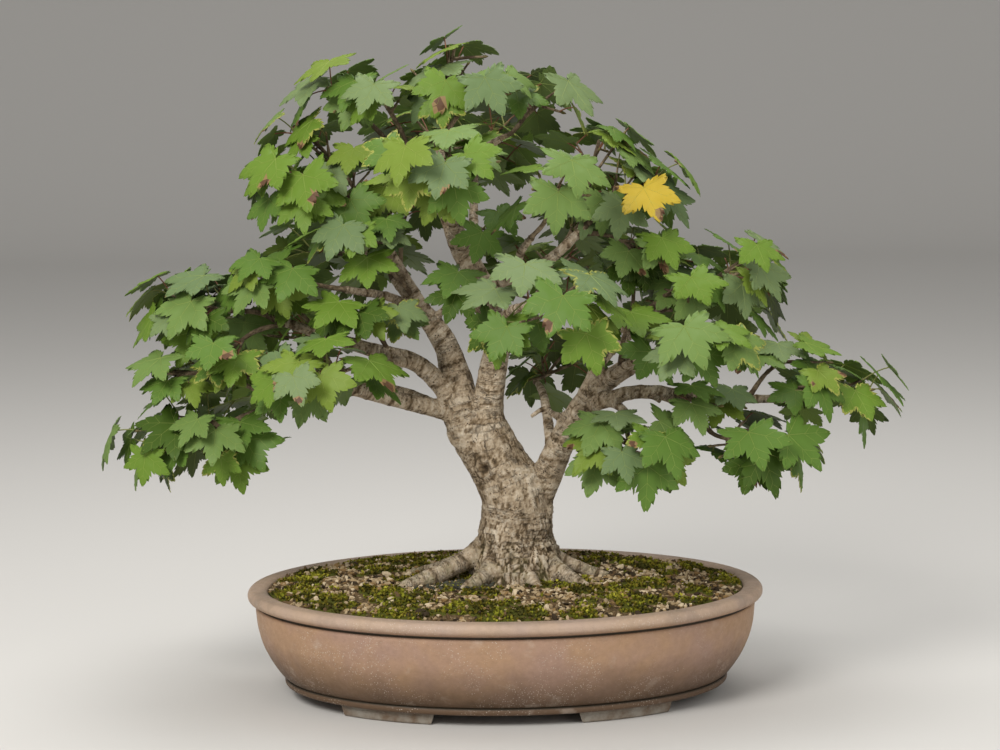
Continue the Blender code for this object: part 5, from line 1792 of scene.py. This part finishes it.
class Growth:
    """Shoots and leaves grown off one stem inside one space, by the source's rule."""

    def __init__(self, space: Space, stem: Array, vigour: Vigour, taken: Taken) -> None:
        """Starts with the stem alone."""
        self.space, self.stem, self.vigour, self.taken = space, stem, vigour, taken
        self.leaves: list[Leaf] = []
        self.shoots: list[tuple[Array, Array]] = []

    def grow(self, draw: random.Random, count: int) -> Growth:
        """Grows shoots off the stem, evenly aimed, each with its leaves.

        Args:
            draw: The source of chance.
            count: How many shoots are tried.

        Returns:
            The growth itself.
        """
        turn = draw.uniform(0.0, 2.0 * math.pi)
        for number in range(count):
            rise = RULE.aim_highest + (RULE.aim_lowest - RULE.aim_highest) * (number + 0.5) / count
            level = math.sqrt(1.0 - rise * rise)
            angle = turn + number * GOLDEN_ANGLE
            aim = np.array((level * math.cos(angle), level * math.sin(angle), rise))
            share = (number + 0.5) / count
            zone = RULE.shoot_zone
            root = point_along(self.stem, zone[0] + (zone[1] - zone[0]) * share)[:3]
            target = self.space.centre + self.space.half * aim * draw.uniform(*self.vigour.reach)
            points = root + (target - root) * np.linspace(0.25, 1.0, RULE.shoot_samples)[:, None]
            if np.linalg.norm(target - root) < RULE.shoot_least:
                continue
            if self.space.holds(points) and self.space.clears_limbs(points):
                self.grow_shoot(root, target, draw)
        return self

    def grow_shoot(self, root: Array, target: Array, draw: random.Random) -> None:
        """Grows one shoot with its end leaf and its pairs of side leaves, each pair at right angles."""
        reach = np.linalg.norm(target - root)
        heading = unit(target - root)
        self.shoots.append((root, target))
        self.keep(self.end_leaf(root, target, draw), target - 0.002 * heading)
        for order in range(RULE.side_leaves):
            pair = order // 2
            roll = order * math.pi + pair * math.pi / 2.0
            place = target - heading * (RULE.pair_from_tip + RULE.pair_spacing * reach * pair)
            self.keep(self.side_leaf(place, heading, roll, draw))

    def keep(self, leaf: Leaf | None, joint: Array | None = None) -> None:
        """Adds a leaf that found room, with its joint moved if one is given."""
        if leaf:
            leaf.joint = leaf.joint if joint is None else joint
            self.leaves.append(leaf)
            self.taken.add(leaf)

    def end_leaf(self, root: Array, target: Array, draw: random.Random) -> Leaf | None:
        """Tries the leaf that carries on a shoot's own line past its last pair."""
        heading = unit(target - root)
        for attempt in range(RULE.tries):
            room = 1.0 - RULE.end_shortening * attempt / RULE.tries
            base = target + heading * RULE.petiole * room * draw.uniform(*RULE.end_reach)
            length = RULE.length * draw.uniform(*RULE.end_size) * (RULE.least_size + (1.0 - RULE.least_size) * room)
            leaf = self.try_leaf(root, base, heading, length, draw)
            if leaf:
                return leaf
        return None

    def side_leaf(self, place: Array, heading: Array, roll: float, draw: random.Random) -> Leaf | None:
        """Tries stalks about one place on a shoot, shorter each time, until a leaf finds room."""
        sideways = unit(np.cross(heading, (0.2, 0.1, 1.0)))
        upright = np.cross(sideways, heading)
        for attempt in range(RULE.tries):
            turn = roll + draw.uniform(-RULE.side_turn, RULE.side_turn) * (1 + attempt / 3.0)
            spread = draw.uniform(*RULE.side_spread)
            room = 1.0 - RULE.side_shortening * attempt / RULE.tries
            radial = math.cos(turn) * sideways + math.sin(turn) * upright
            petiole = unit(math.cos(spread) * heading + math.sin(spread) * radial + RULE.side_lift * UP)
            base = place + petiole * RULE.petiole * room * draw.uniform(*RULE.side_reach)
            length = RULE.length * draw.uniform(*RULE.side_size) * (RULE.least_size + (1.0 - RULE.least_size) * room)
            leaf = self.try_leaf(place + RULE.joint_offset * radial, base, petiole, length, draw)
            if leaf:
                return leaf
        return None

    def try_leaf(self, joint: Array, base: Array, petiole: Array, length: float, draw: random.Random
                 ) -> Leaf | None:
        """Returns a leaf facing out and up with its tip hanging, if it finds room."""
        length = length * self.vigour.size
        outward = unit((base - self.space.centre) / self.space.half * (RULE.face_squeeze, 1.0, 1.0))
        off_axis = ((base[0] - RULE.crown_axis[0]) * RULE.spoke_squeeze, base[1] - RULE.crown_axis[1], 0.0)
        spoke = unit(np.array(off_axis))
        jitter = np.array([draw.uniform(-1.0, 1.0) for _ in range(3)])
        face = unit(RULE.face_out * outward + RULE.face_spoke * spoke + RULE.face_up * UP + RULE.face_jitter * jitter)
        hang = RULE.hang_along * petiole + RULE.hang_spoke * spoke - RULE.hang_down * UP
        along = unit(hang - face * np.dot(hang, face))
        if abs(np.dot(face, petiole)) < RULE.fold_least and np.dot(along, petiole) < 0.5:
            return None
        rim, middle = self.outline(base, along, face, length)
        samples = self.spread_samples(rim, middle, joint)
        others = self.taken.near(base) if self.vigour.minds_all else self.leaves
        crowded = any(np.min(np.linalg.norm(samples[:, None] - other.samples[None], axis=2)) < self.vigour.apart
                      for other in others)
        if crowded or not self.space.holds(rim) or not self.space.clears_limbs(samples):
            return None
        exposure = float(np.linalg.norm((base - self.space.centre) / self.space.half))
        return Leaf(joint, base, along, face, length, exposure, samples)

    @staticmethod
    def outline(base: Array, along: Array, face: Array, length: float) -> tuple[Array, Array]:
        """Returns the corners of a leaf's lobes and its middle."""
        across = np.cross(face, along)
        sides = []
        for degrees, share in RULE.corners:
            angle = math.radians(degrees)
            ahead = base + length * share * math.cos(angle) * along
            reach = length * share * math.sin(angle) * across
            sides.append((ahead + reach, ahead - reach))
        rim = [right for right, _ in sides] + [left for _, left in sides[-2::-1]]
        return np.array(rim), base + RULE.middle * length * along

    @staticmethod
    def spread_samples(rim: Array, middle: Array, joint: Array) -> Array:
        """Returns points spread over a blade and its stalk, to find anything that they touch."""
        edge = np.vstack([rim, 0.5 * (rim[:-1] + rim[1:])])
        fans = [middle + (edge - middle) * share for share in RULE.sample_rings]
        stalk = [middle + (joint - middle) * share for share in RULE.stalk_samples]
        return np.vstack(fans + [np.array(stalk)])


class Foliage:
    """One mass of foliage: the source's own growth, a finer filling, and sprays on the limbs beside it."""

    def __init__(self, mass: Mass, seed: int, skeleton: Skeleton, taken: Taken) -> None:
        """Grows the mass as in the source.

        Args:
            mass: The mass.
            seed: Its seed, as in the source.
            skeleton: The limbs, at the source's own steps.
            taken: The leaves of all the masses so far.
        """
        self.mass, self.seed, self.skeleton, self.taken = mass, seed, skeleton, taken
        paths = list(skeleton.paths.values())
        walls = [Space.wall(mass, other) for other in MASSES if other is not mass]
        self.space = Space(mass.centre, mass.half, walls, paths)
        self.stem = self.stem_line(skeleton.paths[mass.bough])
        self.stems = [self.stem]
        main = Vigour(RULE.shoot_reach, 1.0, RULE.apart, False)
        self.growths = [Growth(self.space, self.stem, main, taken).grow(random.Random(seed), mass.shoots)]

    def stem_line(self, bough_line: Array) -> Array:
        """Returns the stem: on from its bough's tip, bending to just past the middle of its space."""
        tip_radius = bough_line[-1, 3]
        run = unit(bough_line[-1, :3] - bough_line[-2, :3])
        start = bough_line[-1, :3] + GAP * run
        bend = start + RULE.stem_bend * np.linalg.norm(self.space.centre - start) * run
        finish = self.space.centre + RULE.stem_past * (self.space.centre - start)
        knots = [(*(start + STRAIGHT_START * run), tip_radius * RULE.stem_taper[0]),
                 (*bend, tip_radius * RULE.stem_taper[1]),
                 (*finish, RULE.stem_tip)]
        return np.vstack([(*start, tip_radius * RULE.stem_taper[0]), smooth_knots(knots, 2)])

    def fill(self) -> None:
        """Grows smaller leaves on more shoots in the room that is left."""
        finer = Vigour(RULE.filler_reach, RULE.filler_size, RULE.filler_apart, True)
        growth = Growth(self.space, self.stem, finer, self.taken)
        self.growths.append(growth.grow(random.Random(self.seed + 1000), max(2, self.mass.shoots // 2)))

    def add_spray(self, spray: Spray, seed: int) -> None:
        """Grows one spray off its limb."""
        start = point_along(self.skeleton.paths[spray.limb], spray.along)[:3]
        centre = np.array(spray.centre)
        bend = start + 0.5 * (centre - start) + 0.12 * np.linalg.norm(centre - start) * UP
        wide, slim = RULE.spray_radius
        knots = [(*start, wide), (*bend, 0.5 * (wide + slim)), (*(centre + RULE.stem_past * (centre - start)), slim)]
        stem = smooth_knots(knots, 3)
        space = Space(spray.centre, spray.half, [], list(self.skeleton.paths.values()))
        vigour = Vigour(RULE.spray_reach, RULE.spray_size, RULE.filler_apart, True)
        growth = Growth(space, stem, vigour, self.taken).grow(random.Random(seed), spray.shoots)
        if growth.leaves:
            self.growths.append(growth)
            self.stems.append(stem)

    def leaves(self) -> list[Leaf]:
        """Returns all the mass's leaves."""
        return [leaf for growth in self.growths for leaf in growth.leaves]

    def shoots(self) -> list[tuple[Array, Array]]:
        """Returns all the mass's shoots, as starts and ends."""
        return [shoot for growth in self.growths for shoot in growth.shoots]


@dataclass(frozen=True)
class LeafDress:
    """How blades bend and hang, how thick stalks and twigs are, and how the tints are dealt out."""

    droop: tuple[float, float] = (0.02, 0.20)
    cup: tuple[float, float] = (-0.06, 0.12)
    twist: float = 0.16
    wave: tuple[float, float] = (0.010, 0.030)
    stalk_radius: float = 0.00085
    stalk_arch: float = 0.10
    shoot_radius: tuple[float, float] = (0.0017, 0.0011)
    stem_end: float = 0.0019
    bow: float = 0.06
    scorched_share: float = 0.26
    scorch_size: tuple[float, float] = (0.06, 0.20)
    yellow_edge_share: float = 0.16
    turned_place: tuple[float, float, float] = (0.146, -0.090, 0.540)
    seed: int = 5


class Crown:
    """All the leaves, stalks and twigs."""

    def __init__(self, skeleton: Skeleton) -> None:
        """Grows every mass on the limbs."""
        self.dress = LeafDress()
        maker = BladeMaker(BladeShape())
        self.plain_blades = maker.all(False)
        self.edged_blades = maker.all(True)
        self.draw = random.Random(self.dress.seed)
        taken = Taken()
        self.masses = [Foliage(mass, RULE.seed + number, skeleton, taken) for number, mass in enumerate(MASSES)]
        by_place = {foliage.mass.place: foliage for foliage in self.masses}
        for number, spray in enumerate(SPRAYS):
            by_place[spray.mass].add_spray(spray, RULE.seed + 500 + number)
        for foliage in self.masses:
            if foliage.mass.place not in OPEN_MASSES:
                foliage.fill()
        every = [leaf for foliage in self.masses for leaf in foliage.leaves()]
        self.turned = min(every, key=lambda leaf: np.linalg.norm(leaf.base - self.dress.turned_place))
        self.materials, self.slot_of = self.make_materials()

    def make_materials(self) -> tuple[list[bpy.types.Material], dict[tuple[str, str], int]]:
        """Returns the leaf materials, and the slot of each tint's upper side, under side and veins."""
        materials, slots = [], {}
        for tint in Tint:
            red, green, blue = tint.value
            pale = (0.60 * red + 0.135, 0.60 * green + 0.155, 0.60 * blue + 0.040)
            under = (0.75 * red + 0.046, 0.75 * green + 0.056, 0.75 * blue + 0.022)
            for part, colour in (("upper", tint.value), ("under", under), ("vein", pale)):
                slots[(tint.name, part)] = len(materials)
                materials.append(PlainFinish(f"leaf_{tint.name.lower()}_{part}", colour, 0.52, 0.20).make())
        for key, colour in (("scorched", (0.095, 0.045, 0.020)), ("tanned", (0.230, 0.150, 0.060)),
                            ("yellowed", (0.270, 0.290, 0.055)), ("green_stalk", (0.200, 0.215, 0.060)),
                            ("red_stalk", (0.200, 0.085, 0.045))):
            slots[(key, "upper")] = len(materials)
            materials.append(PlainFinish("leaf_" + key, colour, 0.6).make())
        return materials, slots

    def tint(self, leaf: Leaf, middle_height: float) -> Tint:
        """Returns a leaf's tint as painted light and shade: paler outside, high up and facing up or to the front,
        darker inside and below.
        """
        # Painted light and shade: how lit a leaf is, from its place in its mass, its height and the way it faces.
        light = (0.9 * leaf.exposure + 0.55 * leaf.face[2] + 1.1 * (leaf.base[2] - middle_height)
                 - 0.25 * leaf.face[1] + self.draw.uniform(-0.42, 0.42))
        if leaf is self.turned:
            return Tint.TURNING
        for limit, choices in ((0.35, (Tint.SHADE, Tint.DEEP)), (0.70, (Tint.DEEP, Tint.MEADOW, Tint.FRESH)),
                               (1.05, (Tint.MEADOW, Tint.FRESH, Tint.SAGE, Tint.LIME)),
                               (1.35, (Tint.SAGE, Tint.FRESH, Tint.MEADOW, Tint.BLOOM, Tint.SLATE))):
            if light < limit:
                return self.draw.choice(choices)
        return self.draw.choice((Tint.BLOOM, Tint.SAGE, Tint.SLATE, Tint.BLOOM, Tint.SAGE, Tint.LIME))

    def bend(self, flat: Array, leaf: Leaf, way: dict[str, float]) -> Array:
        """Bends a blade's points and puts them in place.

        Args:
            flat: Points as shares of the leaf's length, the third the height over the blade.
            leaf: The leaf.
            way: The leaf's own droop, cup, twist and wave.

        Returns:
            The points in the tree's frame.
        """
        x, y, z = flat.T
        spread = x * x + y * y
        angle = np.arctan2(y, x)
        height = z - way["droop"] * spread + way["cup"] * np.abs(y) * 0.9 + way["twist"] * x * y
        height = height + way["wave"] * np.sin(way["ripples"] * angle + way["phase"]) * spread
        shrink = 1.0 - 0.42 * way["droop"] * spread
        across = np.cross(leaf.face, leaf.along)
        return (leaf.base + leaf.length * ((x * shrink)[:, None] * leaf.along + (y * shrink)[:, None] * across
                                           + height[:, None] * leaf.face))

    def add_leaf(self, leaf: Leaf, middle_height: float, leaves: Surface) -> None:
        """Adds one leaf's blade, veins and stalk."""
        draw, dress = self.draw, self.dress
        tint = self.tint(leaf, middle_height)
        upper, under, vein = [self.slot_of[(tint.name, part)] for part in ("upper", "under", "vein")]
        yellow = draw.random() < dress.yellow_edge_share
        margin = self.slot_of[("yellowed", "upper")] if yellow else upper
        slot_of_kind = np.array([upper, margin, under, vein])
        way = {"droop": draw.uniform(*dress.droop), "cup": draw.uniform(*dress.cup),
               "twist": draw.uniform(-dress.twist, dress.twist), "wave": draw.uniform(*dress.wave),
               "ripples": draw.uniform(5.0, 9.0), "phase": draw.uniform(0.0, 6.3)}
        burns = []
        while draw.random() < dress.scorched_share or (leaf is self.turned and len(burns) < 3):
            turn = draw.choice((-1.85, -0.92, -0.46, 0.0, 0.46, 0.92, 1.85)) + draw.uniform(-0.2, 0.2)
            reach = draw.uniform(0.62, 1.0)
            place = reach * np.array((math.cos(turn), math.sin(turn)))
            burns.append((place, draw.uniform(*dress.scorch_size)))
        blade = draw.choice(self.edged_blades if yellow or burns else self.plain_blades)
        kept_green = (draw.uniform(-3.0, 3.0), draw.uniform(0.6, 1.6))
        lots = []
        for faces, kinds in blade.lots:
            slots = slot_of_kind[kinds]
            middles = blade.points[faces][:, :, :2].mean(axis=1)
            turn = np.abs(np.arctan2(middles[:, 1], middles[:, 0]) - kept_green[0])
            slots = np.where((kinds == Kind.MARGIN.value) & (turn < kept_green[1]), upper, slots)
            for place, size in burns:
                apart = np.linalg.norm(middles - place, axis=1)
                on_top = kinds != Kind.UNDER.value
                slots = np.where((apart < size) & on_top, self.slot_of[("tanned", "upper")], slots)
                slots = np.where((apart < 0.7 * size) & on_top, self.slot_of[("scorched", "upper")], slots)
            lots.append((faces, slots))
        leaves.add(self.bend(blade.points, leaf, way), lots)
        self.add_stalk(leaf, leaves)

    def add_stalk(self, leaf: Leaf, leaves: Surface) -> None:
        """Adds a leaf's arching stalk."""
        length = np.linalg.norm(leaf.base - leaf.joint)
        middle = 0.5 * (leaf.joint + leaf.base) + self.dress.stalk_arch * length * UP
        end = leaf.base + 0.02 * leaf.length * leaf.along - 0.010 * leaf.length * leaf.face
        shares = np.linspace(0.0, 1.0, 6)[:, None]
        line = (1 - shares) ** 2 * leaf.joint + 2 * shares * (1 - shares) * middle + shares ** 2 * end
        radius = self.dress.stalk_radius * np.array([1.5, 1.0, 0.9, 0.85, 0.85, 0.9])[:, None]
        slot = self.slot_of[("red_stalk" if self.draw.random() < 0.5 else "green_stalk", "upper")]
        leaves.add_tube(np.hstack([line, radius]), 5, slot)

    def bowed(self, start: Array, end: Array, radii: tuple[float, float], steps: int) -> Array:
        """Returns a slightly bowed twig with small swellings, as rows of x, y, z and radius."""
        length = np.linalg.norm(end - start)
        off = np.array([self.draw.uniform(-1.0, 1.0) for _ in range(3)]) + 0.4 * UP
        middle = 0.5 * (start + end) + self.dress.bow * length * off
        shares = np.linspace(0.0, 1.0, steps)[:, None]
        line = (1 - shares) ** 2 * start + 2 * shares * (1 - shares) * middle + shares ** 2 * end
        radius = radii[0] + (radii[1] - radii[0]) * shares
        radius[1:-1] *= np.array([self.draw.uniform(0.85, 1.3) for _ in range(steps - 2)])[:, None]
        return np.hstack([line, radius])

    def add_stem(self, stem: Array, twigs: Surface) -> None:
        """Adds a mass's or spray's stem, started a little inside the limb that it leaves."""
        stem = stem.copy()
        share = np.linspace(0.0, 1.0, len(stem))
        stem[:, 3] = stem[0, 3] + (self.dress.stem_end - stem[0, 3]) * share ** 0.8
        back = unit(stem[1, :3] - stem[0, :3]) * 0.004
        stem = np.vstack([(*(stem[0, :3] - back), stem[0, 3] * 0.96), stem])
        finer = smooth_knots(list(stem), 3)
        finer[:, 3] *= [1.0 + 0.12 * self.draw.uniform(-1.0, 1.0) for _ in range(len(finer))]
        twigs.add_tube(finer, 9, 0)

    def add_twigs(self, foliage: Foliage, twigs: Surface) -> None:
        """Adds a mass's stems, its shoots and their buds."""
        for stem in foliage.stems:
            self.add_stem(stem, twigs)
        for root, target in foliage.shoots():
            twigs.add_tube(self.bowed(root, target, self.dress.shoot_radius, 8), 7, 0)
            heading = unit(target - root)
            bud = [(*(target - 0.001 * heading), 0.0012), (*(target + 0.001 * heading), 0.0017),
                   (*(target + 0.003 * heading), 0.0013), (*(target + 0.005 * heading), 0.0004)]
            twigs.add_tube(np.array(bud), 6, 1)

    def build(self) -> None:
        """Builds each mass's leaves and twigs in place of its solid."""
        bark = BarkFinish("twig_bark", (0.060, 0.040, 0.022), (0.160, 0.110, 0.062), (0.300, 0.225, 0.140),
                          (0.400, 0.320, 0.215)).make()
        bud = PlainFinish("bud_scales", (0.160, 0.130, 0.045), 0.5).make()
        heights = [leaf.base[2] for foliage in self.masses for leaf in foliage.leaves()]
        middle_height = sum(heights) / len(heights)
        for foliage in self.masses:
            leaves, twigs = Surface(), Surface()
            for leaf in foliage.leaves():
                self.add_leaf(leaf, middle_height, leaves)
            self.add_twigs(foliage, twigs)
            place = foliage.mass.place
            settle(leaves.make(f"leaves_{place}", self.materials, 50.0), "leaf_green", f"foliage_{place}")
            twig_piece = twigs.make(f"twigs_{place}", [bark, bud], 70.0)
            Pot.record_relief(twig_piece, np.full(len(twig_piece.data.vertices), 0.6))
            settle(twig_piece, "bough_bark", f"foliage_{place}")
        LOG.info("%d leaves in all", len(heights))


# Studio
@dataclass(frozen=True)
class Studio:
    """The pale floor, the soft lights and the camera at the photograph's place."""

    camera_place: tuple[float, float, float] = (-0.0028, -2.8, 0.717)
    camera_pitch: float = 0.1315
    camera_roll: float = -0.0118
    focal_pixels: float = 2621.0
    image_width: float = 1000.0
    sensor_width: float = 36.0
    floor_half: float = 9.0
    sweep_start: float = 5.4
    sweep_radius: float = 1.6
    sweep_top: float = 7.0
    sky: Colour = (1.0, 0.985, 0.965)
    sky_strength: float = 0.42

    def make_floor(self) -> None:
        """Lays the floor, which sweeps up behind into a plain backdrop."""
        bends = np.linspace(0.0, math.pi / 2.0, 17)
        line = [(-self.floor_half, 0.0)]
        line += [(self.sweep_start + self.sweep_radius * math.sin(a), self.sweep_radius * (1.0 - math.cos(a)))
                 for a in bends]
        line.append((self.sweep_start + self.sweep_radius, self.sweep_top))
        points = [(x, y, z) for y, z in line for x in (-self.floor_half, self.floor_half)]
        faces = [(2 * k, 2 * k + 1, 2 * k + 3, 2 * k + 2) for k in range(len(line) - 1)]
        floor = Surface()
        floor.add(np.array(points), [(np.array(faces), 0)])
        piece = floor.make("studio_floor", [FloorFinish().make()])
        piece.location.z = -0.0005

    def make_light(self, name: str, place: tuple, aim: tuple, size: float, power: float, colour: Colour) -> None:
        """Hangs one soft square light that faces its aim."""
        lamp = bpy.data.lights.new(name, "AREA")
        lamp.size = size
        lamp.energy = power
        lamp.color = colour
        holder = bpy.data.objects.new(name, lamp)
        holder.location = place
        holder.rotation_euler = (Vector(aim) - Vector(place)).to_track_quat("-Z", "Y").to_euler()
        bpy.context.scene.collection.objects.link(holder)

    def make_camera(self) -> None:
        """Sets the camera."""
        lens = bpy.data.cameras.new("camera")
        lens.sensor_width = self.sensor_width
        lens.lens = self.focal_pixels * self.sensor_width / self.image_width
        lens.clip_start = 0.05
        camera = bpy.data.objects.new("camera", lens)
        bpy.context.scene.collection.objects.link(camera)
        turn = Matrix.Rotation(math.pi / 2.0 - self.camera_pitch, 4, "X") @ Matrix.Rotation(self.camera_roll, 4, "Z")
        camera.matrix_world = Matrix.Translation(self.camera_place) @ turn
        bpy.context.scene.camera = camera

    def build(self) -> None:
        """Builds the studio."""
        self.make_floor()
        world = bpy.data.worlds.new("studio")
        world.use_nodes = True
        world.node_tree.nodes["Background"].inputs["Color"].default_value = (*self.sky, 1.0)
        world.node_tree.nodes["Background"].inputs["Strength"].default_value = self.sky_strength
        bpy.context.scene.world = world
        self.make_light("key", (-1.3, -2.3, 2.3), (0.0, 0.0, 0.35), 1.3, 86.0, (1.0, 0.97, 0.93))
        self.make_light("fill", (1.9, -1.9, 1.2), (0.0, 0.0, 0.3), 2.0, 18.0, (1.0, 0.98, 0.95))
        self.make_light("top", (0.1, 0.5, 2.6), (0.0, 0.0, 0.4), 1.8, 38.0, (1.0, 0.99, 0.97))
        self.make_camera()
        bpy.context.scene.view_settings.view_transform = "Standard"


def main() -> None:
    """Builds the studio and every piece."""
    logging.basicConfig(level=logging.INFO, format="%(message)s")
    Studio().build()
    Pot().build()
    Soil().build()
    Bark().build(Skeleton(4))
    Crown(Skeleton(2)).build()
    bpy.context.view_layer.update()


if __name__ == "__main__":
    main()
